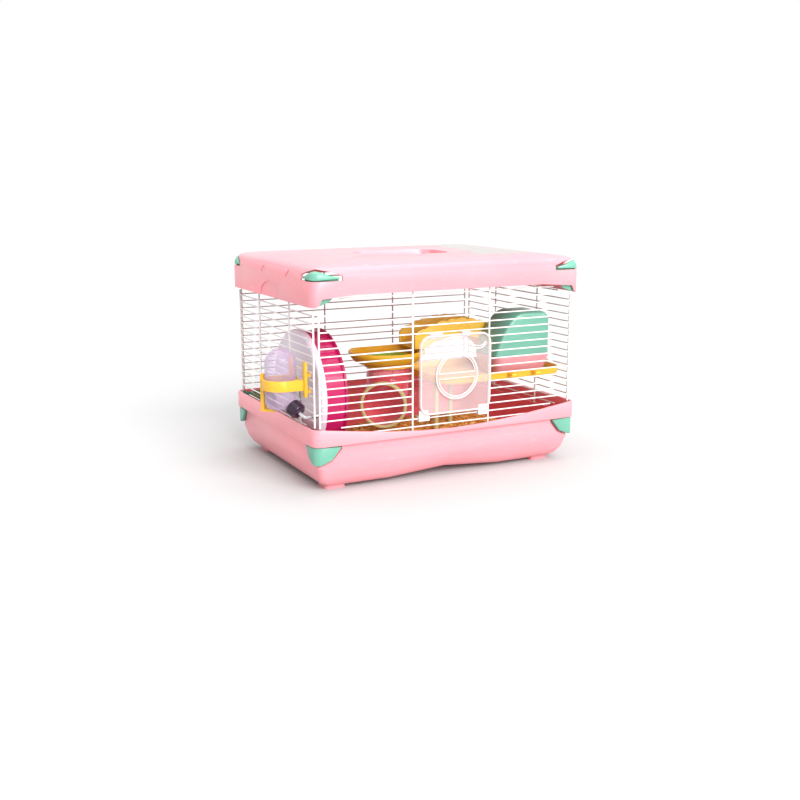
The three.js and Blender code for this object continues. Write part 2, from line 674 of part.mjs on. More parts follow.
function wheelStand() {
  const { y, z, left } = WHEEL;
  const [back, face] = [left - 4.6, left - 1];
  const upright = new THREE.Shape();
  upright.moveTo(-30, 20).lineTo(30, 20).lineTo(12, z);
  upright.absarc(0, z, 12, 0, Math.PI).lineTo(-30, 20);
  const plate = raised(upright, 0, face - back, 6)
    .rotateX(Math.PI / 2).rotateZ(Math.PI / 2).translate(back, y, 0);
  const foot = box([back, y - 30, 20], [-118, y + 30, 23.4]);
  const runners = [-1, 1].map((side) => box([-150, y + side * 24 - 5, FLOOR_Z + FLOOR_T + GAP],
    [-121, y + side * 24 + 5, 21]));
  const bore = rod(AXLE_R + GAP, [back - 1, y, z], [face + 1, y, z], 20);
  return cut(join(plate, foot, ...runners), bore);
}

// ---- tube and platforms -------------------------------------------------------------

const MOUTH = [-Math.sin(TUBE_TURN), -Math.cos(TUBE_TURN), 0];

function tubeElbow() {
  const { x, y, r, wall, top, axisZ, bend, reach } = TUBE;
  const at = (out, z) => vec(x + MOUTH[0] * out, y + MOUTH[1] * out, z);
  const round = bend * 0.5523;
  const path = new THREE.CurvePath();
  path.add(new THREE.LineCurve3(at(0, top), at(0, axisZ + bend)));
  path.add(new THREE.CubicBezierCurve3(at(0, axisZ + bend), at(0, axisZ + bend - round),
    at(bend - round, axisZ), at(bend, axisZ)));
  path.add(new THREE.LineCurve3(at(bend, axisZ), at(reach, axisZ)));
  return swept(annulus(r, r - wall), path, 10, 10);
}

function tubeRing() {
  const { x, y, r, axisZ, reach } = TUBE;
  const profile = [[r + GAP, reach - 5], [r + 1.9, reach - 4.4], [r + 1.9, reach + 1], [r, reach + 2.2],
    [r - 2, reach + 1.4], [r - 2, reach + GAP], [r + GAP, reach + GAP], [r + GAP, reach - 5]];
  return aimed(turned(profile, 24), [x, y, axisZ], MOUTH);
}

function dishPlatform() {
  const { floor, rim, scaleX, scaleY, x, y } = DISH;
  const bowl = turned([[33, 130.4], [38, 131.6], [46, 140.5], [47, rim], [44.8, rim], [43.6, 141.4],
    [36.6, floor], [20, floor], [20, 130.4], [33, 130.4]], 28).scale(scaleX, scaleY, 1).translate(x, y, 0);
  const collar = ring(TUBE.r - 1, TUBE.r + 3.2, 125.6, 132, 32).translate(TUBE.x, TUBE.y, 0);
  const socket = rod(TUBE.r + GAP, [TUBE.x, TUBE.y, 120], [TUBE.x, TUBE.y, TUBE.top + GAP], 32);
  const hole = rod(TUBE.r - 2, [TUBE.x, TUBE.y, 120], [TUBE.x, TUBE.y, 150], 32);
  return cut(join(bowl, collar), socket, hole);
}

// The lime ring that lines the hole down into the tube.
function tubeGrommet() {
  const r = TUBE.r - 2 - GAP;
  const profile = [[r - 2, 130], [r, 130], [r, DISH.floor + GAP], [r + 2.2, DISH.floor + GAP],
    [r + 2.2, DISH.floor + 1.6], [r - 1, DISH.floor + 1.8], [r - 2, DISH.floor + 1], [r - 2, 130]];
  return turned(profile, 24).translate(TUBE.x, TUBE.y, 0);
}

// The arched bridge from the round platform down to the long shelf: a channel between two rails
// whose top edges are scalloped.
function bridgeRailZ(x) {
  const t = (x - BRIDGE.left) / (BRIDGE.right - BRIDGE.left);
  return 163 + 17 * Math.sin(Math.PI * Math.min(t * 1.08, 1)) ** 0.8 - 12 * Math.max(t - 0.86, 0) / 0.14;
}

function archedBridge() {
  const { left, right, front, back, rail, railHeight, wayInX } = BRIDGE;
  const bumps = 9;
  const shape = new THREE.Shape();
  shape.moveTo(left, DISH.rim + GAP).lineTo(left + 14, DISH.rim + GAP);
  shape.bezierCurveTo(30, 163, 78, 166, 100, 142);
  shape.bezierCurveTo(108, 134, 112, 124, 112, SHELF.floor + GAP).lineTo(right, SHELF.floor + GAP);
  const top = [];
  for (let i = 0; i <= bumps * 3; i += 1) {
    const x = right - ((right - left) * i) / (bumps * 3);
    const crest = [0, 1.7, 1.7][i % 3];
    top.push([x, bridgeRailZ(x) + crest]);
  }
  for (const [x, z] of top) shape.lineTo(x, z);
  const channel = new THREE.Shape();
  channel.moveTo(left - 2, bridgeRailZ(left) - railHeight);
  for (let i = 0; i <= 12; i += 1) {
    const x = left + ((right - left) * i) / 12;
    channel.lineTo(x, bridgeRailZ(x) - railHeight);
  }
  channel.lineTo(right + 2, bridgeRailZ(right) - railHeight).lineTo(right + 2, 200).lineTo(left - 2, 200);
  const wayIn = deep(channel, front - 1, front + rail + 1, 1);
  return cut(deep(shape, front, back, 5), deep(channel, front + rail, back - rail, 1),
    common(wayIn, box([wayInX, front - 2, 100], [right + 3, back, 210])));
}

function longShelf() {
  const { left, right, front, back, low, floor, top } = SHELF;
  const [x, y] = [(left + right) / 2, (front + back) / 2];
  const tray = ([inset, r, z]) => loop({
    x, y, halfX: (right - left) / 2 - inset, halfY: (back - front) / 2 - inset, r,
    height: () => z, arcSteps: 7,
  });
  const profile = [[3, 19, low], [0.6, 21, low + 2.5], [0, 22, top], [2.4, 20, top], [3.4, 19, floor]];
  const body = loft(profile.map(tray));
  const pegZ = rowZ(5.5);
  const peg = (x0, y0, x1, y1) => box([x0, y0, pegZ - 1.6], [x1, y1, pegZ + 1.6]);
  return join(body, peg(85, front - 11, 91, front + 2), peg(120, front - 11, 126, front + 2),
    peg(right - 2, -74, right + 6, -69), peg(right - 2, -60, right + 6, -56));
}

function shelfPost([x, y]) {
  const top = SHELF.low - GAP;
  const foot = FLOOR_Z + BELLY_RISE + FLOOR_T + GAP;
  return turned([[0, foot], [9, foot], [9, foot + 0.4], [POST_R, foot + 0.5], [POST_R - 0.6, 80],
    [POST_R - 0.6, top - 4], [5.5, top - 1], [5.5, top], [0, top]], 12).translate(x, y, 0);
}

// ---- house and pan ------------------------------------------------------------------

function flaredTray({ left, right, front, back, low, top, draft, wall, r }) {
  const [x, y] = [(left + right) / 2, (front + back) / 2];
  const at = (inset, z, radius) => loop({
    x, y, halfX: (right - left) / 2 - inset, halfY: (back - front) / 2 - inset, r: radius, height: () => z,
    arcSteps: 4,
  });
  return loft([at(draft, low, r * 0.7), at(0, top, r), at(wall, top, r - 1),
    at(draft + wall, low + wall, r * 0.6)]);
}

function houseBase() {
  return flaredTray({
    left: HOUSE.left - 2, right: HOUSE.right + 3, front: HOUSE.front - 3, back: HOUSE.back + 3,
    low: SHELF.floor + GAP, top: HOUSE.seat - GAP, draft: 7, wall: 6, r: 12,
  });
}

function domeShape(inset, floor) {
  const { left, right, top } = HOUSE;
  const [x0, x1, z1] = [left + inset, right - inset, top - inset];
  const shape = new THREE.Shape();
  shape.moveTo(x0, floor).lineTo(x1, floor).lineTo(x1, z1 - 7);
  shape.quadraticCurveTo(x1, z1, x1 - 8, z1).lineTo(x0 + 34, z1);
  shape.bezierCurveTo(x0 + 22, z1, x0 + 8, z1 - 22, x0, floor + 14);
  return shape;
}

function houseDome() {
  const { left, right, front, back, seat, wall } = HOUSE;
  const soft = 5;
  const settings = {
    depth: back - front - 2 * soft, curveSegments: 6, bevelEnabled: true, bevelSegments: 2,
    bevelThickness: soft, bevelSize: soft,
  };
  const outer = new THREE.ExtrudeGeometry(domeShape(soft, seat - 12), settings)
    .rotateX(Math.PI / 2).translate(0, back - soft, 0);
  const below = box([left - 5, front - 5, seat - 30], [right + 5, back + 5, seat]);
  const inner = deep(domeShape(soft + wall - 2, seat - 20), front + wall + 1, back - wall - 1, 6);
  const arch = new THREE.Shape();
  const middle = left + 43;
  arch.moveTo(middle - 16, seat - 5).lineTo(middle + 16, seat - 5).lineTo(middle + 16, seat + 18);
  arch.absarc(middle, seat + 18, 16, 0, Math.PI).lineTo(middle - 16, seat - 5);
  return cut(outer, below, inner, deep(arch, back - 8, back + 5, 6));
}

function cornerPan() {
  return flaredTray({ ...PAN, draft: 16, wall: 2, r: 14 });
}

// ---- assembly -----------------------------------------------------------------------

const cage = new THREE.Group();
const PLASTIC = { roughness: 0.42, metalness: 0 };
const PINK = { color: 0xf4b3bd, ...PLASTIC };
const MINT = { color: 0x7fd6bd, ...PLASTIC };
const YELLOW = { color: 0xf5c62a, ...PLASTIC };
const CLEAR = { color: 0xf2e6ea, roughness: 0.15, metalness: 0 };
const WHITE = { color: 0xf4f2ef, roughness: 0.35, metalness: 0 };
const CREAM = { color: 0xe9dfb4, ...PLASTIC };
const STEEL = { color: 0xc9ccd0, roughness: 0.25, metalness: 1 };

function add(name, geometry, look) {
  const mesh = new THREE.Mesh(geometry, new THREE.MeshStandardMaterial(look));
  mesh.name = name;
  cage.add(mesh);
}

const wall = lidWall();
add('base_tub', tub(), PINK);
add('lid', lid(wall), PINK);
add('skylight_panel', skylight(wall), CLEAR);
add('carry_handle', carryHandle(), PINK);
for (const [corner, at] of Object.entries(CORNERS)) {
  add(`lid_clip_${corner}`, lidClip(at), MINT);
  add(`tub_clip_${corner}`, tubClip(at), MINT);
}
add('front_wires', frontWires(), WHITE);
add('back_wires', backWires(), WHITE);
add('left_wires', sideWires(-1), WHITE);
add('right_wires', sideWires(1), WHITE);

add('door_panel', doorPanel(), CLEAR);
add('door_cap', doorCap(), CLEAR);
add('door_hinge_clip_left', hingeClip(DOOR.left, DOOR.left + 14), WHITE);
add('door_hinge_clip_right', hingeClip(DOOR.right - 16, DOOR.right - 2), WHITE);
add('door_catch_left', doorCatch(-31, -14), WHITE);
add('door_catch_right', doorCatch(13, 24), WHITE);

add('bottle_body', bottleBody(), { color: 0xcbb8d8, roughness: 0.1, metalness: 0 });
add('bottle_cap', bottleCap(), { color: 0x3b1b40, roughness: 0.35, metalness: 0 });
add('bottle_spout', spout(), STEEL);
add('spout_ball', spoutBall(), STEEL);
add('bottle_holder', bottleHolder(), YELLOW);

add('wheel_drum', wheelDrum(), { color: 0xd8307f, roughness: 0.25, metalness: 0 });
add('wheel_disc', wheelDisc(), { color: 0xe8d4e4, roughness: 0.25, metalness: 0 });
add('wheel_axle', wheelAxle(), WHITE);
add('wheel_stand', wheelStand(), WHITE);

add('tube_elbow', tubeElbow(), { color: 0xe2607c, roughness: 0.15, metalness: 0 });
add('tube_ring', tubeRing(), CREAM);
add('tube_grommet', tubeGrommet(), { color: 0xb3cc3a, ...PLASTIC });
add('round_platform', dishPlatform(), YELLOW);
add('arched_bridge', archedBridge(), YELLOW);
add('long_shelf', longShelf(), YELLOW);
POSTS.forEach((place, i) => add(`shelf_post_${i + 1}`, shelfPost(place), CREAM));

add('house_base', houseBase(), { color: 0xe9909c, ...PLASTIC });
add('house_dome', houseDome(), MINT);
add('corner_pan', cornerPan(), { color: 0x8ba67c, ...PLASTIC });
add('bedding', bedding(), { color: 0xc07a35, roughness: 0.95, metalness: 0 });

// The bottle stands out on the left, so the cage is moved to centre its whole footprint.
const extent = new THREE.Box3().setFromObject(cage);
cage.position.x = -(extent.min.x + extent.max.x) / 2;
cage.updateMatrixWorld(true);

export default cage;
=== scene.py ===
"""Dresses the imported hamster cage: moulded shells, wires, clear parts, furniture and bedding."""

import logging
import math
import random
from collections.abc import Callable, Sequence
from dataclasses import dataclass, field
from enum import Enum
from functools import cache

import bmesh
import bpy
from mathutils import Matrix, Vector
from mathutils.bvhtree import BVHTree


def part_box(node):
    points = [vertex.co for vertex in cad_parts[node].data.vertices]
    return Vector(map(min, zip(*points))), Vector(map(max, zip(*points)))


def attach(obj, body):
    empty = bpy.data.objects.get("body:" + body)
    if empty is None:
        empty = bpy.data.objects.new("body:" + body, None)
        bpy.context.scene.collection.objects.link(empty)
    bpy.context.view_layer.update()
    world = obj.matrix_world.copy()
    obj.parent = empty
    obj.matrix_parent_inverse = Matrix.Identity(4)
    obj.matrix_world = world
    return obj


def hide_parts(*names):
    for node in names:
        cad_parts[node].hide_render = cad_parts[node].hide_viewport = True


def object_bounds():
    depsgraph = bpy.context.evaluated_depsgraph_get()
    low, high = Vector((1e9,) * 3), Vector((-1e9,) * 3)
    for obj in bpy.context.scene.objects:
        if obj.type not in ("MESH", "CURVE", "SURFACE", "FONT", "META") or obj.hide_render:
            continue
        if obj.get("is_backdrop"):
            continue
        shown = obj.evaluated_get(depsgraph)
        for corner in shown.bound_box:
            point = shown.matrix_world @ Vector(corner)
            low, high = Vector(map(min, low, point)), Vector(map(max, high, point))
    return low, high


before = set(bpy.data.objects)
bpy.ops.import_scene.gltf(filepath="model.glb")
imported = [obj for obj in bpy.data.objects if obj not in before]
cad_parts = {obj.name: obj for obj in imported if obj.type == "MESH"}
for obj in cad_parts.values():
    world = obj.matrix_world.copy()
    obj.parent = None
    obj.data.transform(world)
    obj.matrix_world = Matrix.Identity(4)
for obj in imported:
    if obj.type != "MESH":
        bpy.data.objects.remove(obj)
CAD_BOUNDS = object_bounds()

MM = 0.001
SMOOTH_ANGLE = math.radians(32)
FLAT_ANGLE = math.radians(0.4)
WELD_GAP = 0.01 * MM
EDGE_STEPS = 2

log = logging.getLogger("hamster_cage")

Point = tuple[float, float, float]
Profile = Sequence[tuple[float, float]]
Number = float | int


def tint(code: str) -> tuple[float, float, float, float]:
    """Turns a six-figure hex colour into a linear colour.

    Args:
        code: Red, green and blue as two hex figures each.

    Returns:
        The linear colour, fully opaque.
    """
    values = [int(code[i : i + 2], 16) / 255 for i in (0, 2, 4)]
    linear = [v / 12.92 if v <= 0.04045 else ((v + 0.055) / 1.055) ** 2.4 for v in values]
    return (linear[0], linear[1], linear[2], 1.0)


def round_turn(sides: int) -> list[float]:
    """Equal angles all the way round, with the first at nought."""
    return [math.tau * i / sides for i in range(sides)]


def sweep(start: float, end: float, steps: int) -> list[float]:
    """Equal steps of angle from start to end, with both ends."""
    return [start + (end - start) * i / steps for i in range(steps + 1)]


class Flow:
    """A node's output socket that can be used in plain arithmetic."""

    def __init__(self, graph: "Graph", socket: bpy.types.NodeSocket) -> None:
        """Keeps the graph and the socket."""
        self.graph = graph
        self.socket = socket

    def _math(self, operation: str, *values: "Flow | Number") -> "Flow":
        """Adds a Math node.

        Args:
            operation: The Math node's operation.
            values: Its inputs, in order.

        Returns:
            The node's output.
        """
        inputs = dict(enumerate(values))
        return self.graph.node("ShaderNodeMath", {"operation": operation}, inputs).out(0)

    def __add__(self, other: "Flow | Number") -> "Flow":
        """Sum."""
        return self._math("ADD", self, other)

    def __radd__(self, other: Number) -> "Flow":
        """Sum, reflected."""
        return self._math("ADD", other, self)

    def __mul__(self, other: "Flow | Number") -> "Flow":
        """Product."""
        return self._math("MULTIPLY", self, other)

    def __rmul__(self, other: Number) -> "Flow":
        """Product, reflected."""
        return self._math("MULTIPLY", other, self)

    def __lt__(self, other: "Flow | Number") -> "Flow":
        """One where this is less, else nought."""
        return self._math("LESS_THAN", self, other)


class Knot:
    """A node in a graph, whose outputs come back as flows."""

    def __init__(self, graph: "Graph", node: bpy.types.Node) -> None:
        """Keeps the graph and the node."""
        self.graph = graph
        self.node = node

    def out(self, key: int | str) -> Flow:
        """The output with that name or number."""
        return Flow(self.graph, self.node.outputs[key])


class Graph:
    """The node tree of one material."""

    def __init__(self, name: str) -> None:
        """Starts an empty tree in a new material of that name."""
        self.material = bpy.data.materials.new(name)
        self.material.use_nodes = True
        self.tree = self.material.node_tree
        self.tree.nodes.clear()

    def node(
        self,
        kind: str,
        settings: dict[str, object] | None = None,
        inputs: dict[int | str, object] | None = None,
    ) -> Knot:
        """Adds one node.

        Args:
            kind: The node's type name.
            settings: Properties to set first. "stops" sets a ramp's stops.
            inputs: Values or flows for its input sockets.

        Returns:
            The node, wrapped.
        """
        node = self.tree.nodes.new(kind)
        for key, value in (settings or {}).items():
            if key == "stops":
                self._stops(node, value)
            else:
                setattr(node, key, value)
        for key, value in (inputs or {}).items():
            if isinstance(value, Flow):
                self.tree.links.new(value.socket, node.inputs[key])
            else:
                node.inputs[key].default_value = value
        return Knot(self, node)

    @staticmethod
    def _stops(node: bpy.types.Node, stops: Sequence[tuple[float, object]]) -> None:
        """Sets the stops of a colour ramp.

        Args:
            node: The ramp's node.
            stops: Each stop's place, from nought to one, and its linear colour.
        """
        ramp = node.color_ramp
        while len(ramp.elements) < len(stops):
            ramp.elements.new(1.0)
        for element, (place, colour) in zip(ramp.elements, stops):
            element.position = place
            element.color = colour

    def place(self) -> Flow:
        """The surface point in the object's own space."""
        return self.node("ShaderNodeTexCoord").out("Object")

    def noise(self, scale: float, detail: float = 3, stretch: Point = (1, 1, 1)) -> Flow:
        """Noise over the surface.

        Args:
            scale: Waves per metre.
            detail: Octaves of finer noise.
            stretch: How much to squeeze the pattern along each axis.

        Returns:
            A value from nought to one.
        """
        spread = self.node("ShaderNodeMapping", None, {"Vector": self.place(), "Scale": stretch})
        inputs = {"Vector": spread.out(0), "Scale": scale, "Detail": detail}
        return self.node("ShaderNodeTexNoise", None, inputs).out(0)

    def mix(self, amount: Flow, first: object, second: object) -> Flow:
        """A blend of two colours.

        Args:
            amount: Nought for the first colour, one for the second.
            first: A linear colour or a flow.
            second: A linear colour or a flow.

        Returns:
            The blended colour.
        """
        inputs = {0: amount, 6: first, 7: second}
        settings = {"data_type": "RGBA", "clamp_factor": True}
        return self.node("ShaderNodeMix", settings, inputs).out(2)

    def ramp(self, value: Flow, low: float, high: float) -> Flow:
        """Stretches the part of a value between low and high over nought to one."""
        inputs = {"Value": value, "From Min": low, "From Max": high}
        return self.node("ShaderNodeMapRange", None, inputs).out(0)

    def bump(self, height: Flow, strength: float, distance: float) -> Flow:
        """A bumped normal from a height."""
        inputs = {"Height": height, "Strength": strength, "Distance": distance}
        return self.node("ShaderNodeBump", None, inputs).out(0)

    def surface(self, inputs: dict[int | str, object]) -> bpy.types.Material:
        """Ends the tree in a Principled surface.

        Args:
            inputs: Values or flows for the surface's sockets.

        Returns:
            The finished material.
        """
        skin = self.node("ShaderNodeBsdfPrincipled", None, inputs)
        self.node("ShaderNodeOutputMaterial", None, {"Surface": skin.out(0)})
        return self.material


@dataclass(frozen=True)
class Moulded:
    """Injection-moulded plastic: faint flow mottling, fine grain, dry scuffs and, where given, painted shade
    on the faces that look into the tub.
    """

    name: str
    colour: str
    shade: str
    roughness: float = 0.38
    grain: float = 0.1
    clearness: float = 0.0
    # Deeper red-pink painted as shade on the faces that look into the tub; None leaves them plain.
    lining_and_painted_shade: str | None = None
    dimples: float = 0.0
    glow: float = 0.0

    def material(self) -> bpy.types.Material:
        """Builds the material.

        Returns:
            The finished material.
        """
        graph = Graph(self.name)
        flow = graph.noise(scale=9, detail=4, stretch=(1, 1, 1.8))
        rubbed = graph.noise(scale=60, detail=6, stretch=(1, 1, 7))
        scuff = graph.ramp(rubbed, low=0.62, high=0.78) * (0.25 if self.clearness else 1.0)
        colour = graph.mix(graph.ramp(flow, low=0.3, high=0.75), tint(self.colour), tint(self.shade))
        # Painted shade: faces that look into the tub take the deeper red-pink, standing in for the shade and
        # reddened bounced light inside it.
        if self.lining_and_painted_shade:
            colour = graph.mix(self._painted_shade_faces(graph), colour, tint(self.lining_and_painted_shade))
        colour = graph.mix(scuff * 0.12, colour, tint("ffffff"))
        fine, coarse = graph.noise(scale=1400, detail=2), graph.noise(scale=140, detail=3)
        height = fine * self.grain + coarse * self.grain
        if self.dimples:
            cells = graph.node("ShaderNodeTexVoronoi", None, {"Vector": graph.place(), "Scale": 130.0})
            height = height + graph.ramp(cells.out(0), low=0.1, high=0.6) * self.dimples
        inputs: dict[int | str, object] = {
            "Base Color": colour,
            "Roughness": flow * 0.12 + scuff * 0.14 + (self.roughness - 0.06),
            "Normal": graph.bump(height, strength=0.35, distance=0.4 * MM),
            "Coat Weight": 0.18,
            "Coat Roughness": 0.2,
            "IOR": 1.49,
            "Subsurface Weight": self.glow,
            "Subsurface Radius": (0.006, 0.003, 0.003),
            "Subsurface Scale": 1.0,
        }
        if self.clearness:
            glance = graph.node("ShaderNodeLayerWeight", None, {"Blend": 0.3}).out("Facing")
            inputs["Alpha"] = glance * (self.clearness * 0.55) + scuff * 0.1 + (0.98 - self.clearness)
        return graph.surface(inputs)

    @staticmethod
    def _painted_shade_faces(graph: Graph) -> Flow:
        """Marks the faces that look towards the middle of the tub, where the shade inside it is painted.

        Args:
            graph: The material's tree.

        Returns:
            One on those faces, nought on the others.
        """
        low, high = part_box("base_tub")
        centre = (low + high) / 2
        spot = graph.node(
            "ShaderNodeVectorMath",
            {"operation": "SUBTRACT"},
            {0: graph.place(), 1: (centre.x, centre.y, centre.z)},
        )
        facing = graph.node(
            "ShaderNodeVectorMath",
            {"operation": "DOT_PRODUCT"},
            {0: spot.out(0), 1: graph.node("ShaderNodeNewGeometry").out("True Normal")},
        )
        return facing.out("Value") < 0


@dataclass(frozen=True)
class Coated:
    """Round wire under a soft powder coat with an orange-peel skin."""

    name: str
    colour: str = "dbd5d4"
    shade: str = "cbc3c2"

    def material(self) -> bpy.types.Material:
        """Builds the material.

        Returns:
            The finished material.
        """
        graph = Graph(self.name)
        patch = graph.noise(scale=40, detail=4)
        peel = graph.noise(scale=2200, detail=2)
        chip = graph.ramp(graph.noise(scale=420, detail=5), low=0.71, high=0.75)
        coat = graph.mix(graph.ramp(patch, low=0.35, high=0.7), tint(self.colour), tint(self.shade))
        return graph.surface(
            {
                "Base Color": graph.mix(chip * 0.5, coat, tint("908a89")),
                "Roughness": patch * 0.15 + 0.22,
                "Normal": graph.bump(peel, strength=0.25, distance=0.2 * MM),
                "Coat Weight": 0.3,
            }
        )


@dataclass(frozen=True)
class Drawn:
    """Bright drawn steel with fine lengthwise lines."""

    name: str

    def material(self) -> bpy.types.Material:
        """Builds the material.

        Returns:
            The finished material.
        """
        graph = Graph(self.name)
        lines = graph.noise(scale=900, detail=3, stretch=(0.08, 1, 1))
        water = graph.ramp(graph.noise(scale=160, detail=3), low=0.55, high=0.75)
        return graph.surface(
            {
                "Base Color": graph.mix(water * 0.3, tint("d5d7da"), tint("a9abae")),
                "Metallic": 1.0,
                "Roughness": lines * 0.12 + water * 0.15 + 0.14,
                "Normal": graph.bump(lines, strength=0.2, distance=0.1 * MM),
            }
        )


@dataclass(frozen=True)
class Shavings:
    """Softwood shavings: each curl has its own tone, with grain lines along it."""

    name: str

    def material(self) -> bpy.types.Material:
        """Builds the material.

        Returns:
            The finished material.
        """
        graph = Graph(self.name)
        own = graph.node("ShaderNodeNewGeometry").out("Random Per Island")
        patch = graph.ramp(graph.noise(scale=160, detail=4), low=0.3, high=0.7)
        tones = {0.0: "94501c", 0.35: "cf7d2a", 0.7: "e8a84a", 1.0: "f6d494"}
        stops = [(spot, tint(code)) for spot, code in tones.items()]
        tone = graph.node("ShaderNodeValToRGB", {"stops": stops}, {0: own * 0.6 + patch * 0.4}).out(0)
        streak = graph.noise(scale=500, detail=4, stretch=(1, 0.15, 1))
        crumple = graph.noise(scale=90, detail=5)
        return graph.surface(
            {
                "Base Color": graph.mix(graph.ramp(streak, low=0.4, high=0.7) * 0.4, tone, tint("7a3d18")),
                "Roughness": streak * 0.2 + 0.7,
                "Normal": graph.bump(streak + crumple, strength=0.7, distance=0.8 * MM),
            }
        )


class Finish(Enum):
    """Every finish on the cage."""

    # The tub's pink; its inner faces get a deeper red-pink as painted shade.
    PINK = Moulded("moulded_pink", "e89199", "e38992", 0.36, lining_and_painted_shade="f0646c", glow=0.05)
    LID_PINK = Moulded("moulded_lid_pink", "e89098", "e38891", 0.36, glow=0.05)
    MINT = Moulded("moulded_mint", "66a28e", "5c9783")
    YELLOW = Moulded("moulded_yellow", "dda926", "d5a01e", glow=0.1)
    LEAFY = Moulded("dimpled_yellow", "e6bc40", "dcae34", dimples=3.0, glow=0.15)
    CLEAR = Moulded("clear_door_plastic", "efe4e4", "e8dcdc", 0.12, 0.04, clearness=0.84)
    BEAD = Moulded("clear_edge_plastic", "e8e0e0", "e2d9d9", 0.1, 0.03, clearness=0.22)
    SKYLIGHT = Moulded("clear_roof_plastic", "a8a3a1", "a5a09e", 0.16, 0.04, clearness=0.14)
    WHITE = Moulded("moulded_white", "d8d2cf", "d0c9c6", 0.3)
    CREAM = Moulded("moulded_cream", "b8ac78", "b0a36c", glow=0.08)
    LIME = Moulded("moulded_lime", "8fae35", "82a22c", glow=0.08)
    ROSE = Moulded("moulded_rose", "ca868c", "c27d84")
    SAGE = Moulded("moulded_sage", "6c8a60", "607e55", 0.5)
    PURPLE = Moulded("moulded_purple", "2b0c2c", "1f0820", 0.28)
    BOTTLE = Moulded("bottle_plastic", "bca6c2", "b49ebb", 0.07, 0.01, clearness=0.84)
    TUBE = Moulded("clear_pink_plastic", "e6606e", "de5564", 0.1, 0.03, clearness=0.6)
    DRUM = Moulded("clear_magenta_plastic", "c81c66", "ba145a", 0.2, 0.04, clearness=0.3, glow=0.1)
    LIP = Moulded("solid_magenta_plastic", "a80e50", "9a0a48", 0.26)
    DISC = Moulded("milky_plastic", "e9dde9", "e0d2e0", 0.22, 0.04, clearness=0.2, glow=0.15)
    WIRE = Coated("coated_wire")
    STEEL = Drawn("drawn_steel")
    WOOD = Shavings("curled_softwood")

    @cache
    def material(self) -> bpy.types.Material:
        """This finish's material, made on first use."""
        return self.value.material()


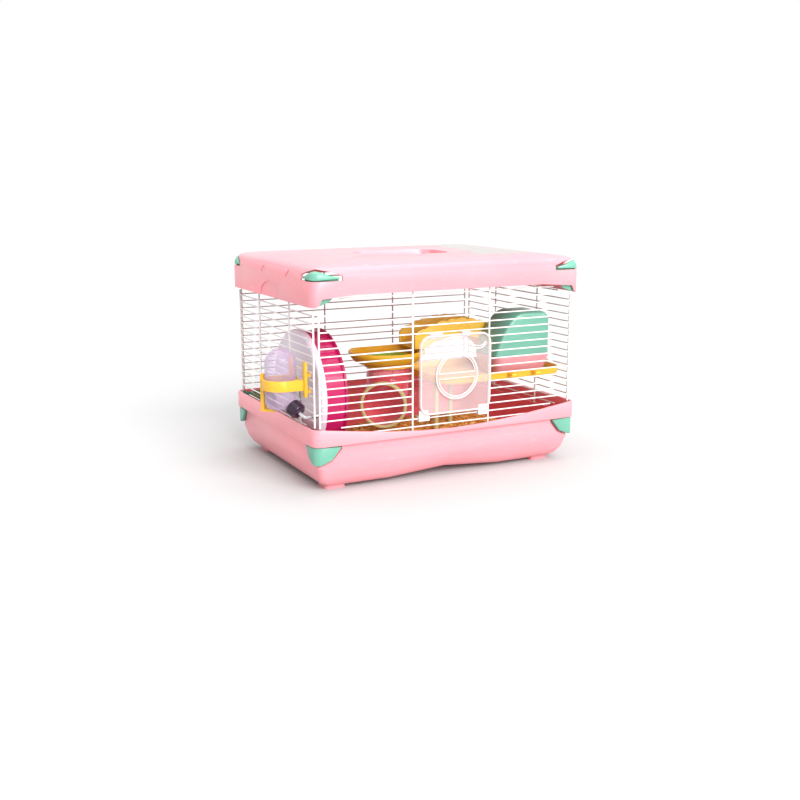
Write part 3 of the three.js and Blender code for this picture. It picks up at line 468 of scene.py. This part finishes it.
class Clay:
    """Collects faces and turns them into one dressed piece."""

    def __init__(self) -> None:
        """Starts with no faces."""
        self.mesh = bmesh.new()

    def skin(self, rings: Sequence[Sequence[Vector]], joined: bool = False, ended: bool = True) -> None:
        """Stretches a skin over rings of points.

        Args:
            rings: Closed rings with the same number of points.
            joined: Whether the last ring meets the first.
            ended: Whether the two ends are closed.
        """
        made = [[self.mesh.verts.new(point) for point in ring] for ring in rings]
        spans = len(made) if joined else len(made) - 1
        for i in range(spans):
            here, there = made[i], made[(i + 1) % len(made)]
            for j in range(len(here)):
                k = (j + 1) % len(here)
                self.mesh.faces.new((here[j], here[k], there[k], there[j]))
        if ended and not joined:
            self.mesh.faces.new(made[0])
            self.mesh.faces.new(made[-1])

    def turn(self, profile: Profile, sides: int, frame: Matrix, stretch: Point = (1, 1, 1)) -> None:
        """Turns a closed profile of (radius, height) about the frame's Z.

        Args:
            profile: The closed outline, all of it off the axis.
            sides: Steps round the turn.
            frame: Where the axis stands.
            stretch: Scale along the frame's own axes.
        """
        rings = []
        for angle in round_turn(sides):
            c, s = math.cos(angle), math.sin(angle)
            ring = [Vector((r * c * stretch[0], r * s * stretch[1], z * stretch[2])) for r, z in profile]
            rings.append([frame @ point for point in ring])
        self.skin(rings, joined=True)

    def rod(self, start: Vector, end: Vector, radius: float, sides: int = 10) -> None:
        """A straight round bar with softened ends.

        Args:
            start: The middle of one end.
            end: The middle of the other end.
            radius: The bar's radius.
            sides: Steps round the bar.
        """
        length = (end - start).length
        soft = min(radius * 0.5, length / 4)
        steps = [(radius * 0.6, 0), (radius, soft), (radius, length - soft), (radius * 0.6, length)]
        frame = aimed(start, end - start)
        self.skin([self._ring(frame, r, z, sides) for r, z in steps])

    @staticmethod
    def _ring(frame: Matrix, radius: float, height: float, sides: int) -> list[Vector]:
        """Points round the frame's Z at a radius and height."""
        circle = round_turn(sides)
        return [frame @ Vector((radius * math.cos(a), radius * math.sin(a), height)) for a in circle]

    def block(self, low: Point, high: Point, frame: Matrix, soft: float) -> None:
        """A block with chamfered long edges.

        Args:
            low: Its lowest corner in the frame.
            high: Its highest corner in the frame.
            frame: Where it stands.
            soft: Width of the chamfer.
        """
        (x0, y0, z0), (x1, y1, z1) = low, high
        section = [
            (x0 + soft, y0), (x1 - soft, y0), (x1, y0 + soft), (x1, y1 - soft),
            (x1 - soft, y1), (x0 + soft, y1), (x0, y1 - soft), (x0, y0 + soft),
        ]
        self.skin([[frame @ Vector((x, y, z)) for x, y in section] for z in (z0, z1)])

    def pipe(self, path: Sequence[Vector], outer: float, inner: float, sides: int) -> None:
        """An open pipe with a real wall along a path.

        Args:
            path: Points along the middle.
            outer: Outside radius.
            inner: Inside radius.
            sides: Steps round the pipe.
        """
        last = len(path) - 1
        spans = [(path[min(i + 1, last)] - path[max(i - 1, 0)]).normalized() for i in range(last + 1)]
        circle = round_turn(sides)
        side = spans[0].orthogonal().normalized()
        skins: list[list[list[Vector]]] = [[], []]
        for point, ahead in zip(path, spans):
            side = (side - ahead * side.dot(ahead)).normalized()
            up = ahead.cross(side)
            for store, radius in zip(skins, (outer, inner)):
                store.append([point + (side * math.cos(a) + up * math.sin(a)) * radius for a in circle])
        self.skin([*skins[0], *reversed(skins[1])], joined=True)

    def bead(self, path: Sequence[Vector], radius: float, sides: int = 8) -> None:
        """A round bead along a closed path that lies in an upright plane facing front.

        Args:
            path: Points along the middle, all the way round.
            radius: The bead's radius.
            sides: Steps round the bead.
        """
        front = Vector((0, -1, 0))
        circle = round_turn(sides)
        rings = []
        for i, point in enumerate(path):
            side = (path[(i + 1) % len(path)] - path[i - 1]).normalized().cross(front)
            rings.append([point + (side * math.cos(a) + front * math.sin(a)) * radius for a in circle])
        self.skin(rings, joined=True)

    def piece(self, name: str, finish: Finish, body: str, slot: str, *nodes: str) -> bpy.types.Object:
        """Makes the piece, dresses it and sends it with its body.

        Args:
            name: The piece's name.
            finish: Its finish.
            body: The body that it moves with.
            slot: The record's material slot; not used.
            nodes: CAD nodes that it stands for.

        Returns:
            The new object.
        """
        bmesh.ops.recalc_face_normals(self.mesh, faces=self.mesh.faces)
        data = bpy.data.meshes.new(name)
        self.mesh.to_mesh(data)
        self.mesh.free()
        data.set_sharp_from_angle(angle=SMOOTH_ANGLE)
        data.polygons.foreach_set("use_smooth", [True] * len(data.polygons))
        made = bpy.data.objects.new(name, data)
        bpy.context.collection.objects.link(made)
        data.materials.append(finish.material())
        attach(made, body)
        if nodes:
            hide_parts(*nodes)
        log.info("%s: %d faces on %s", name, len(data.polygons), body)
        return made


def aimed(start: Vector, direction: Vector) -> Matrix:
    """A frame at start whose Z runs along a direction."""
    return Matrix.Translation(start) @ direction.to_track_quat("Z", "Y").to_matrix().to_4x4()


def middle(node: str) -> Vector:
    """The middle of a CAD node's box."""
    low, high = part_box(node)
    return (low + high) / 2


def dress(node: str, finish: Finish, edge: float) -> None:
    """Gives a CAD node its finish and softens its edges without touching its mesh.

    Args:
        node: The CAD node.
        finish: Its finish.
        edge: Width of the softened edge, in metres.
    """
    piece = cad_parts[node]
    piece.data.polygons.foreach_set("use_smooth", [True] * len(piece.data.polygons))
    if not piece.material_slots:
        piece.data.materials.append(None)
    for place in piece.material_slots:
        place.link = "OBJECT"
        place.material = finish.material()
    weld = piece.modifiers.new("weld", "WELD")
    weld.merge_threshold = WELD_GAP
    flat = piece.modifiers.new("flatten", "DECIMATE")
    flat.decimate_type = "DISSOLVE"
    flat.angle_limit = FLAT_ANGLE
    soften = piece.modifiers.new("edge", "BEVEL")
    soften.width = edge
    soften.segments = EDGE_STEPS
    soften.limit_method = "ANGLE"
    soften.angle_limit = SMOOTH_ANGLE
    soften.harden_normals = True
    log.info("%s: dressed as %s", node, finish.value.name)


@dataclass
class Shells:
    """The tub, the lid and the parts moulded in plain solid plastic."""

    edge: float = 0.5 * MM
    corners: tuple[str, ...] = ("front_left", "front_right", "back_left", "back_right")
    plain: dict[str, Finish] = field(
        default_factory=lambda: {
            "base_tub": Finish.PINK,
            "lid": Finish.LID_PINK,
            "carry_handle": Finish.LID_PINK,
            "skylight_panel": Finish.SKYLIGHT,
            "wheel_axle": Finish.WHITE,
            "wheel_stand": Finish.WHITE,
            "bottle_spout": Finish.STEEL,
            "spout_ball": Finish.STEEL,
            "bottle_holder": Finish.YELLOW,
            "long_shelf": Finish.YELLOW,
            "arched_bridge": Finish.LEAFY,
            "shelf_post_1": Finish.CREAM,
            "shelf_post_2": Finish.CREAM,
            "house_base": Finish.ROSE,
            "house_dome": Finish.MINT,
            "corner_pan": Finish.SAGE,
            "door_panel": Finish.CLEAR,
            "door_cap": Finish.CLEAR,
            "door_hinge_clip_left": Finish.WHITE,
            "door_hinge_clip_right": Finish.WHITE,
            "door_catch_left": Finish.WHITE,
            "door_catch_right": Finish.WHITE,
        }
    )

    def build(self) -> None:
        """Dresses every plain CAD node."""
        for node, finish in self.plain.items():
            dress(node, finish, self.edge)
        for corner in self.corners:
            dress(f"lid_clip_{corner}", Finish.MINT, self.edge * 0.6)
            dress(f"tub_clip_{corner}", Finish.MINT, self.edge * 0.6)


class Side(Enum):
    """Which way a wire panel's rows run."""

    ALONG_X = 0
    ALONG_Y = 1


@dataclass
class WirePanel:
    """A welded panel of round wires: thin rows across thicker uprights."""

    node: str
    side: Side
    uprights: tuple[float, ...]
    doorway: float = 0.0
    rows: int = 18
    first_row: float = 67.5 * MM
    pitch: float = 9.2 * MM
    row_radius: float = 0.85 * MM
    upright_radius: float = 1.15 * MM
    door_rows: tuple[int, int] = (2, 11)
    corner_low: float = 77.8 * MM
    corner_high: float = 212 * MM
    short_by: float = 26 * MM
    corner_band: float = 5 * MM
    weld_share: float = 0.9

    def _spot(self, along: float, z: float) -> Vector:
        """Finds a point in the panel.

        Args:
            along: Distance from the panel's middle, along its rows.
            z: Height.

        Returns:
            The point.
        """
        centre = middle(self.node)
        if self.side is Side.ALONG_X:
            return Vector((centre.x + along, centre.y, z))
        return Vector((centre.x, centre.y + along, z))

    def build(self) -> None:
        """Builds the panel's wires as one piece."""
        low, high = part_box(self.node)
        half = (high - low)[self.side.value] / 2 - self.upright_radius
        clay = Clay()
        for row in range(self.rows):
            z = self.first_row + self.pitch * row
            short = z < self.corner_low or z > self.corner_high
            reach = half - (self.short_by if short else 0)
            open_row = self.doorway and self.door_rows[0] <= row <= self.door_rows[1]
            spans = [(-reach, -self.doorway), (self.doorway, reach)] if open_row else [(-reach, reach)]
            for start, end in spans:
                clay.rod(self._spot(start, z), self._spot(end, z), self.row_radius)
        for along in self.uprights:
            corner = abs(along) > half - self.corner_band
            z0, z1 = (self.corner_low, self.corner_high) if corner else (low.z, high.z)
            clay.rod(self._spot(along, z0), self._spot(along, z1), self.upright_radius, sides=12)
            self._welds(clay, along, z0, z1)
        clay.piece(f"{self.node}_round", Finish.WIRE, "wire_cage", "white_wire", self.node)

    def _welds(self, clay: Clay, along: float, z0: float, z1: float) -> None:
        """Adds the small swelling where each row is welded to an upright.

        Args:
            clay: Where its faces go.
            along: The upright's distance from the panel's middle.
            z0: The upright's foot.
            z1: The upright's top.
        """
        reach = self.upright_radius * self.weld_share
        for row in range(self.rows):
            z = self.first_row + self.pitch * row
            if z0 < z < z1:
                ends = (self._spot(along - reach, z), self._spot(along + reach, z))
                clay.rod(*ends, self.upright_radius, sides=8)


@dataclass
class DoorTrim:
    """The raised beads that edge the clear door, its thumb lip and its round cap."""

    bead: float = 0.8 * MM
    corner: float = 12.5 * MM
    inset: float = 1.5 * MM
    lip_out: float = 30.75 * MM
    lip_up: float = 163 * MM
    lip_size: tuple[float, float] = (10 * MM, 7 * MM)
    well: float = 25 * MM
    bar: float = 3.2 * MM

    def build(self) -> None:
        """Builds the door's beads and the cap's beads."""
        low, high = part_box("door_panel")
        front = low.y + self.bead
        centre = (low + high) / 2
        door = Clay()
        door.bead(self._border(low, high, front), self.bead)
        lip = Vector((centre.x + self.lip_out, front, self.lip_up))
        outer, inner = self.lip_size
        arc = sweep(math.pi, math.tau, 12)
        crescent = self._curve(lip, outer, inner, arc)
        back = self._curve(lip, outer * 0.8, inner * 0.6, arc[::-1])
        door.bead([*crescent, *back], self.bead * 0.7)
        door.piece("door_beads", Finish.BEAD, "door", "clear_plastic")
        self._cap()

    @staticmethod
    def _curve(centre: Vector, across: float, up: float, angles: Sequence[float]) -> list[Vector]:
        """Points on an upright oval about a centre, at the given angles."""
        return [centre + Vector((across * math.cos(a), 0, up * math.sin(a))) for a in angles]

    def _border(self, low: Vector, high: Vector, front: float) -> list[Vector]:
        """Follows the door's edge, a little way in.

        Args:
            low: The door's lowest corner.
            high: The door's highest corner.
            front: How far forward the bead lies.

        Returns:
            Points all the way round.
        """
        r = self.corner
        edge = self.inset + r
        centres = [(high.x - edge, high.z - edge), (low.x + edge, high.z - edge),
                   (low.x + edge, low.z + edge), (high.x - edge, low.z + edge)]
        path = []
        for quarter, (x, z) in enumerate(centres):
            angles = sweep(math.pi / 2 * quarter, math.pi / 2 * (quarter + 1), 8)
            path += self._curve(Vector((x, front, z)), r, r, angles)
        return path

    def _cap(self) -> None:
        """Builds the cap's ring bead and the outline of its two finger wells."""
        low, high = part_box("door_cap")
        centre = (low + high) / 2
        centre.y = low.y + self.bead
        rim = (high.x - low.x) / 2 - self.inset
        clay = Clay()
        clay.bead(self._curve(centre, rim, rim, round_turn(72)), self.bead)
        start = math.asin(self.bar / self.well)
        for half in (0, math.pi):
            angles = sweep(start + half, math.pi - start + half, 30)
            arc = self._curve(centre, self.well, self.well, angles)
            chord = [arc[-1].lerp(arc[0], i / 8) for i in range(1, 8)]
            clay.bead([*arc, *chord], self.bead * 0.8)
        clay.piece("door_cap_beads", Finish.BEAD, "port_cap", "clear_plastic")


@dataclass
class Wheel:
    """The running wheel: a ribbed see-through drum, its solid lip and a milky dished disc."""

    rungs: int = 60
    spokes: int = 12
    sides: int = 96
    wall: float = 1.9 * MM
    hub: float = 9 * MM
    lip: float = 3.2 * MM
    drum_inset: float = 1.8 * MM
    lip_width: float = 9.6 * MM
    disc_wall: float = 1.7 * MM
    disc_bore: float = 3.3 * MM
    disc_round: float = 4 * MM

    def build(self) -> None:
        """Builds the drum, lip and disc."""
        low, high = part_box("wheel_drum")
        centre = middle("wheel_drum")
        frame = aimed(Vector((low.x, centre.y, centre.z)), Vector((1, 0, 0)))
        length = high.x - low.x
        rim = (high.z - low.z) / 2
        drum = rim - self.drum_inset
        clay = Clay()
        inner = drum - self.wall
        profile = [(inner, 0), (drum, 0), (drum, length - self.lip), (inner, length - self.lip)]
        clay.turn(profile, self.sides, frame)
        for i in range(self.rungs):
            turned = frame @ Matrix.Rotation(math.tau * i / self.rungs, 4, "Z")
            high_corner = (inner + 0.1 * MM, 1 * MM, length - self.lip)
            clay.block((inner - 1.2 * MM, -1 * MM, 0), high_corner, turned, soft=0.4 * MM)
        clay.piece("wheel_drum_ribbed", Finish.DRUM, "wheel", "magenta_clear", "wheel_drum")
        band = Clay()
        start = length - self.lip
        inside = rim - self.lip_width
        band.turn(
            [(inside, length - 1.6 * MM), (inner, start), (rim - 0.5 * MM, start), (rim, start + 0.6 * MM),
             (rim, length - 0.6 * MM), (rim - 0.5 * MM, length), (inside, length)],
            self.sides, frame,
        )
        band.piece("wheel_lip", Finish.LIP, "wheel", "magenta_clear")
        self._disc()

    def _disc(self) -> None:
        """Builds the dished disc with its rim, ribs and hub."""
        low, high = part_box("wheel_disc")
        centre = middle("wheel_disc")
        frame = aimed(Vector((low.x, centre.y, centre.z)), Vector((1, 0, 0)))
        rim = (high.z - low.z) / 2
        deep = high.x - low.x - 1 * MM
        bore = self.disc_bore
        skin = self.disc_wall
        turn = self.disc_round
        edge = [
            (rim - turn + turn * math.sin(a), turn * (1 - math.cos(a)))
            for a in sweep(0, math.pi / 2, 10)
        ]
        back = [(r - skin * 0.9, z + skin) for r, z in reversed(edge)]
        clay = Clay()
        clay.turn(
            [(bore, 0), (self.hub * 3, 0), *edge, (rim, deep), (rim - skin, deep), *back,
             (self.hub, skin), (self.hub, deep + 1 * MM), (bore, deep + 1 * MM)],
            self.sides, frame,
        )
        for i in range(self.spokes):
            turned = frame @ Matrix.Rotation(math.tau * i / self.spokes, 4, "Z")
            high_corner = (rim - 6 * MM, 0.7 * MM, skin + 1.4 * MM)
            clay.block((self.hub, -0.7 * MM, skin * 0.8), high_corner, turned, soft=0.3 * MM)
        clay.piece("wheel_disc_dished", Finish.DISC, "wheel", "pale_lavender", "wheel_disc")


@dataclass
class PlayTube:
    """The bent see-through tube, its cream mouth ring, the round platform and its lime lining."""

    radius: float = 27 * MM
    wall: float = 1.6 * MM
    bend: float = 29 * MM
    axis_height: float = 84 * MM
    reach: float = 42 * MM
    turn: float = math.radians(35)
    steps: int = 18

    def build(self) -> None:
        """Builds the tube, ring, platform and lining."""
        platform = middle("tube_grommet")
        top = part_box("tube_elbow")[1].z
        out = Vector((-math.sin(self.turn), -math.cos(self.turn), 0))
        axis = Vector((platform.x, platform.y, 0))
        up = Vector((0, 0, 1))
        drop = top - self.axis_height - self.bend
        path = [axis + up * (top - drop * i / 3) for i in range(3)]
        turning = axis + out * self.bend + up * (self.axis_height + self.bend)
        for a in sweep(0, math.pi / 2, self.steps):
            path.append(turning - out * (self.bend * math.cos(a)) - up * (self.bend * math.sin(a)))
        path.append(axis + out * self.reach + up * self.axis_height)
        clay = Clay()
        clay.pipe(path, self.radius, self.radius - self.wall, 64)
        for place in (6 * MM, 9 * MM):
            frame = Matrix.Translation(axis + up * (top - place - 6 * MM))
            clay.turn(self._bead(self.radius, 0.7 * MM), 64, frame)
        clay.piece("tube_elbow_clear", Finish.TUBE, "base", "pink_clear", "tube_elbow")
        mouth = aimed(axis + up * self.axis_height + out * self.reach, out)
        r = self.radius
        ring = Clay()
        outline = [(r + 0.4 * MM, -5 * MM), (r + 1.5 * MM, -4.8 * MM), (r + 1.9 * MM, -4 * MM),
                   (r + 1.9 * MM, 0.8 * MM), (r + 1.2 * MM, 1.9 * MM), (r, 2.2 * MM),
                   (r - 1.4 * MM, 1.9 * MM), (r - 2 * MM, 1.2 * MM), (r - 2 * MM, 0.3 * MM),
                   (r + 0.4 * MM, 0.3 * MM)]
        ring.turn(outline, 72, mouth)
        ring.piece("tube_ring_round", Finish.CREAM, "base", "cream_plastic", "tube_ring")
        self._platform()

    @staticmethod
    def _bead(radius: float, size: float) -> Profile:
        """The outline of a small raised bead on the tube."""
        return [(radius + size * math.cos(a), size * math.sin(a)) for a in round_turn(8)]

    def _platform(self) -> None:
        """Builds the round platform and the lining of its hole."""
        low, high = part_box("round_platform")
        centre = (low + high) / 2
        rim = 47 * MM
        stretch = ((high.x - low.x) / 2 / rim, (high.y - low.y) / 2 / rim, 1)
        top = high.z
        collar = self.radius + 3.2 * MM
        bore = self.radius - 1.6 * MM
        outline = [(33, -15.1), (36.5, -14.6), (40, -12.4), (45, -6.4), (46.6, -4), (47, -2), (47, -0.6),
                   (46.4, 0), (45.2, 0), (44.6, -0.8), (43.4, -4.3), (40.4, -7), (36.6, -8.5)]
        plate = [(r * MM, top + z * MM) for r, z in outline]
        frame = Matrix.Translation((centre.x, centre.y, 0))
        clay = Clay()
        clay.turn([*plate, (bore, top - 8.5 * MM), (bore, top - 15.1 * MM)], 96, frame, stretch)
        near, grip_top = self.radius + 0.4 * MM, low.z + 6 * MM
        grip = [(near, low.z), (collar, low.z), (collar, grip_top), (near, grip_top)]
        hole = middle("tube_grommet")
        clay.turn(grip, 72, Matrix.Translation((hole.x, hole.y, 0)))
        clay.piece("round_platform_smooth", Finish.YELLOW, "wire_cage", "yellow_plastic", "round_platform")
        floor, crest = (corner.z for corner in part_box("tube_grommet"))
        r = self.radius - 2.3 * MM
        lining_and_painted_shade = [(r - 2 * MM, floor), (r, floor), (r, crest - 1.5 * MM), (r + 2 * MM, crest - 1.5 * MM),
                  (r + 2.2 * MM, crest - 0.6 * MM), (r + 1 * MM, crest), (r - 1 * MM, crest),
                  (r - 2 * MM, crest - 0.8 * MM)]
        ring = Clay()
        ring.turn(lining_and_painted_shade, 72, Matrix.Translation((hole.x, hole.y, 0)))
        ring.piece("tube_grommet_round", Finish.LIME, "wire_cage", "lime_plastic", "tube_grommet")


@dataclass
class Bottle:
    """The outside water bottle with its slanted neck and knurled cap."""

    out_left: float = 199 * MM
    out_front: float = 83 * MM
    radius: float = 18.5 * MM
    wall: float = 1.3 * MM
    fillet: float = 9 * MM
    low: float = 95.5 * MM
    top: float = 166.5 * MM
    neck_from: Point = (-199 * MM, -84.5 * MM, 110.8 * MM)
    neck_way: Point = (0.36, -0.8, -0.48)
    neck_radius: float = 7.5 * MM
    neck_length: float = 25 * MM
    cap_from: float = 19.5 * MM
    cap_to: float = 32 * MM
    cap_radius: float = 9.6 * MM
    knurls: int = 30

    def _outline(self, inset: float) -> list[tuple[float, float]]:
        """Draws the bottle's side from the bottom up to its crown.

        Args:
            inset: How far inside the outer face.

        Returns:
            The side as pairs of radius and height.
        """
        r = self.radius - inset
        bottom, crown = self.low + inset, self.top - inset
        least = 0.2 * MM
        bend = self.fillet
        quarter = sweep(0, math.pi / 2, 8)
        foot = [(r - bend * (1 - math.sin(a)), bottom + bend * (1 - math.cos(a))) for a in quarter]
        dome = [(max(r * math.cos(a), least), crown - r * (1 - math.sin(a))) for a in quarter]
        return [(least, bottom), *foot, *dome]

    def build(self) -> None:
        """Builds the bottle and the cap."""
        cage = middle("base_tub")
        frame = Matrix.Translation((cage.x - self.out_left, cage.y - self.out_front, 0))
        clay = Clay()
        clay.turn([*self._outline(0), *reversed(self._outline(self.wall))], 64, frame)
        start = Vector(self.neck_from) + Vector((cage.x, cage.y, 0))
        way = Vector(self.neck_way).normalized()
        path = [start + way * (self.neck_length * (0.62 + 0.38 * i / 3)) for i in range(4)]
        clay.pipe(path, self.neck_radius, self.neck_radius - 1.5 * MM, 32)
        clay.piece("bottle_clear", Finish.BOTTLE, "bottle_set", "lavender_clear", "bottle_body")
        cap = Clay()
        seat = aimed(start + way * self.cap_from, way)
        length = self.cap_to - self.cap_from
        r = self.cap_radius - 0.8 * MM
        neck, spout = self.neck_radius + 0.3 * MM, 2.9 * MM
        cap.turn(
            [(neck, 0), (r, 0), (r, length - 1.4 * MM), (r - 0.5 * MM, length - 0.4 * MM),
             (r - 1.6 * MM, length), (spout, length), (spout, length - 6 * MM), (neck, length - 6.6 * MM)],
            64, seat,
        )
        for i in range(self.knurls):
            turned = seat @ Matrix.Rotation(math.tau * i / self.knurls, 4, "Z")
            high_corner = (r + 0.8 * MM, 0.5 * MM, length - 1.6 * MM)
            cap.block((r - 0.4 * MM, -0.5 * MM, 0.8 * MM), high_corner, turned, soft=0.3 * MM)
        cap.piece("bottle_cap_knurled", Finish.PURPLE, "bottle_set", "purple_plastic", "bottle_cap")


@dataclass
class Bedding:
    """Loose curled shavings heaped over the solid bedding."""

    curls: int = 5200
    seed: int = 11
    length: tuple[float, float] = (5 * MM, 13 * MM)
    width: tuple[float, float] = (2.2 * MM, 5 * MM)
    thick: float = 0.3 * MM
    sink: float = 0.3 * MM
    margin: float = 7 * MM
    least_rise: float = 6 * MM
    bend: tuple[float, float] = (0.6, 2.6)
    tip: float = 0.35

    def build(self) -> None:
        """Scatters the shavings and dresses the heap beneath them."""
        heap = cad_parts["bedding"]
        dress("bedding", Finish.WOOD, 0.4 * MM)
        tree = BVHTree.FromPolygons(
            [v.co for v in heap.data.vertices], [list(p.vertices) for p in heap.data.polygons]
        )
        low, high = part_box("bedding")
        dice = random.Random(self.seed)
        clay = Clay()
        for _ in range(self.curls):
            x = dice.uniform(low.x + self.margin, high.x - self.margin)
            y = dice.uniform(low.y + self.margin, high.y - self.margin)
            spot, normal, _face, _far = tree.ray_cast(Vector((x, y, high.z + 0.1)), Vector((0, 0, -1)))
            if spot is not None and spot.z > low.z + self.least_rise:
                self._curl(clay, dice, spot, normal)
        clay.piece("bedding_shavings", Finish.WOOD, "base", "wood_shavings")

    def _curl(self, clay: Clay, dice: random.Random, spot: Vector, normal: Vector) -> None:
        """Adds one curled shaving lying on the heap.

        Args:
            clay: Where its faces go.
            dice: The seeded random numbers.
            spot: The point on the heap.
            normal: The heap's direction there.
        """
        length = dice.uniform(*self.length)
        width = dice.uniform(*self.width)
        arc = dice.uniform(*self.bend)
        radius = length / arc
        frame = aimed(spot, normal) @ Matrix.Rotation(dice.uniform(0, math.tau), 4, "Z")
        frame = frame @ Matrix.Rotation(dice.uniform(-self.tip, self.tip), 4, "X")
        rings = []
        for i in range(5):
            angle = arc * (i / 4 - 0.5)
            point = Vector((radius * math.sin(angle), 0, radius * (math.cos(angle) - math.cos(arc / 2))))
            lift = Vector((math.sin(angle), 0, math.cos(angle))) * self.thick
            half = Vector((0, width * (0.5 - 0.12 * abs(i - 2)), 0))
            drop = Vector((0, 0, -self.sink))
            rings.append([frame @ (point + drop + part) for part in (-half, half, half + lift, lift - half)])
        clay.skin(rings)


@dataclass
class Studio:
    """A plain pale floor, soft lights and the camera."""

    azimuth: float = math.radians(-27.37)
    elevation: float = math.radians(12.05)
    distance: float = 1394.1 * MM
    aim_left: float = 2.4 * MM
    aim_height: float = 71 * MM
    lens: float = 48.15
    floor_half: float = 6.0

    def build(self) -> None:
        """Sets up the floor, the lights and the camera."""
        self._floor()
        self._world()
        self._light("key", way=(0.1, -1.9, 1.1), spread=40, strength=4.6)
        self._light("top", way=(0.1, 0.0, 2.4), spread=60, strength=2.0)
        self._camera()

    def _floor(self) -> None:
        """Lays the floor just under the feet."""
        h = self.floor_half
        data = bpy.data.meshes.new("studio_floor")
        data.from_pydata([(-h, -h, 0), (h, -h, 0), (h, h, 0), (-h, h, 0)], [], [(0, 1, 2, 3)])
        floor = bpy.data.objects.new("studio_floor", data)
        bpy.context.collection.objects.link(floor)
        graph = Graph("studio_floor")
        shade = graph.mix(graph.noise(scale=3, detail=2), tint("b2b2b2"), tint("b0b0b0"))
        data.materials.append(graph.surface({"Base Color": shade, "Roughness": 0.85}))
        floor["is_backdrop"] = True

    @staticmethod
    def _world() -> None:
        """Gives even white light from all round."""
        world = bpy.data.worlds.new("studio")
        world.use_nodes = True
        back = world.node_tree.nodes["Background"]
        back.inputs["Color"].default_value = (1, 1, 1, 1)
        back.inputs["Strength"].default_value = 1.0
        bpy.context.scene.world = world
        bpy.context.scene.view_settings.view_transform = "Standard"

    @staticmethod
    def _light(name: str, way: Point, spread: float, strength: float) -> None:
        """Adds one far, soft light.

        Args:
            name: The light's name.
            way: Where it stands, seen from the cage.
            spread: How wide it looks from the cage, in degrees.
            strength: Its power on a facing surface, in watts per square metre.
        """
        data = bpy.data.lights.new(name, "SUN")
        data.angle = math.radians(spread)
        data.energy = strength
        lamp = bpy.data.objects.new(name, data)
        lamp.matrix_world = aimed(Vector(way), Vector(way))
        bpy.context.collection.objects.link(lamp)

    def _camera(self) -> None:
        """Stands the camera at its viewing angle."""
        cage = middle("base_tub")
        aim = Vector((cage.x - self.aim_left, cage.y, self.aim_height))
        back = Vector(
            (
                math.sin(self.azimuth) * math.cos(self.elevation),
                -math.cos(self.azimuth) * math.cos(self.elevation),
                math.sin(self.elevation),
            )
        )
        data = bpy.data.cameras.new("camera")
        data.lens = self.lens
        data.sensor_width = 36
        data.clip_end = 50
        camera = bpy.data.objects.new("camera", data)
        camera.matrix_world = aimed(aim + back * self.distance, back)
        bpy.context.collection.objects.link(camera)
        bpy.context.scene.camera = camera


def panels() -> list[WirePanel]:
    """Lists the four wire panels.

    Returns:
        The front, back, left and right panels.
    """
    across = (-170 * MM, -52 * MM, 52 * MM, 170 * MM)
    deep = (-122 * MM, -50 * MM, 50 * MM, 122 * MM)
    return [
        WirePanel("front_wires", Side.ALONG_X, across, doorway=52 * MM),
        WirePanel("back_wires", Side.ALONG_X, across),
        WirePanel("left_wires", Side.ALONG_Y, deep),
        WirePanel("right_wires", Side.ALONG_Y, deep),
    ]


def main() -> None:
    """Builds and dresses the whole cage."""
    logging.basicConfig(level=logging.INFO, format="%(message)s")
    builders: list[Callable[[], None]] = [Studio().build, Shells().build]
    builders += [panel.build for panel in panels()]
    builders += [DoorTrim().build, Wheel().build, PlayTube().build, Bottle().build, Bedding().build]
    for build in builders:
        build()


def corners(bounds: object) -> list[list[float]]:
    """A box as plain lists of numbers."""
    return [[float(value) for value in corner] for corner in bounds]


if __name__ == "__main__":
    main()
    {"cad": corners(CAD_BOUNDS), "visual": corners(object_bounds())}
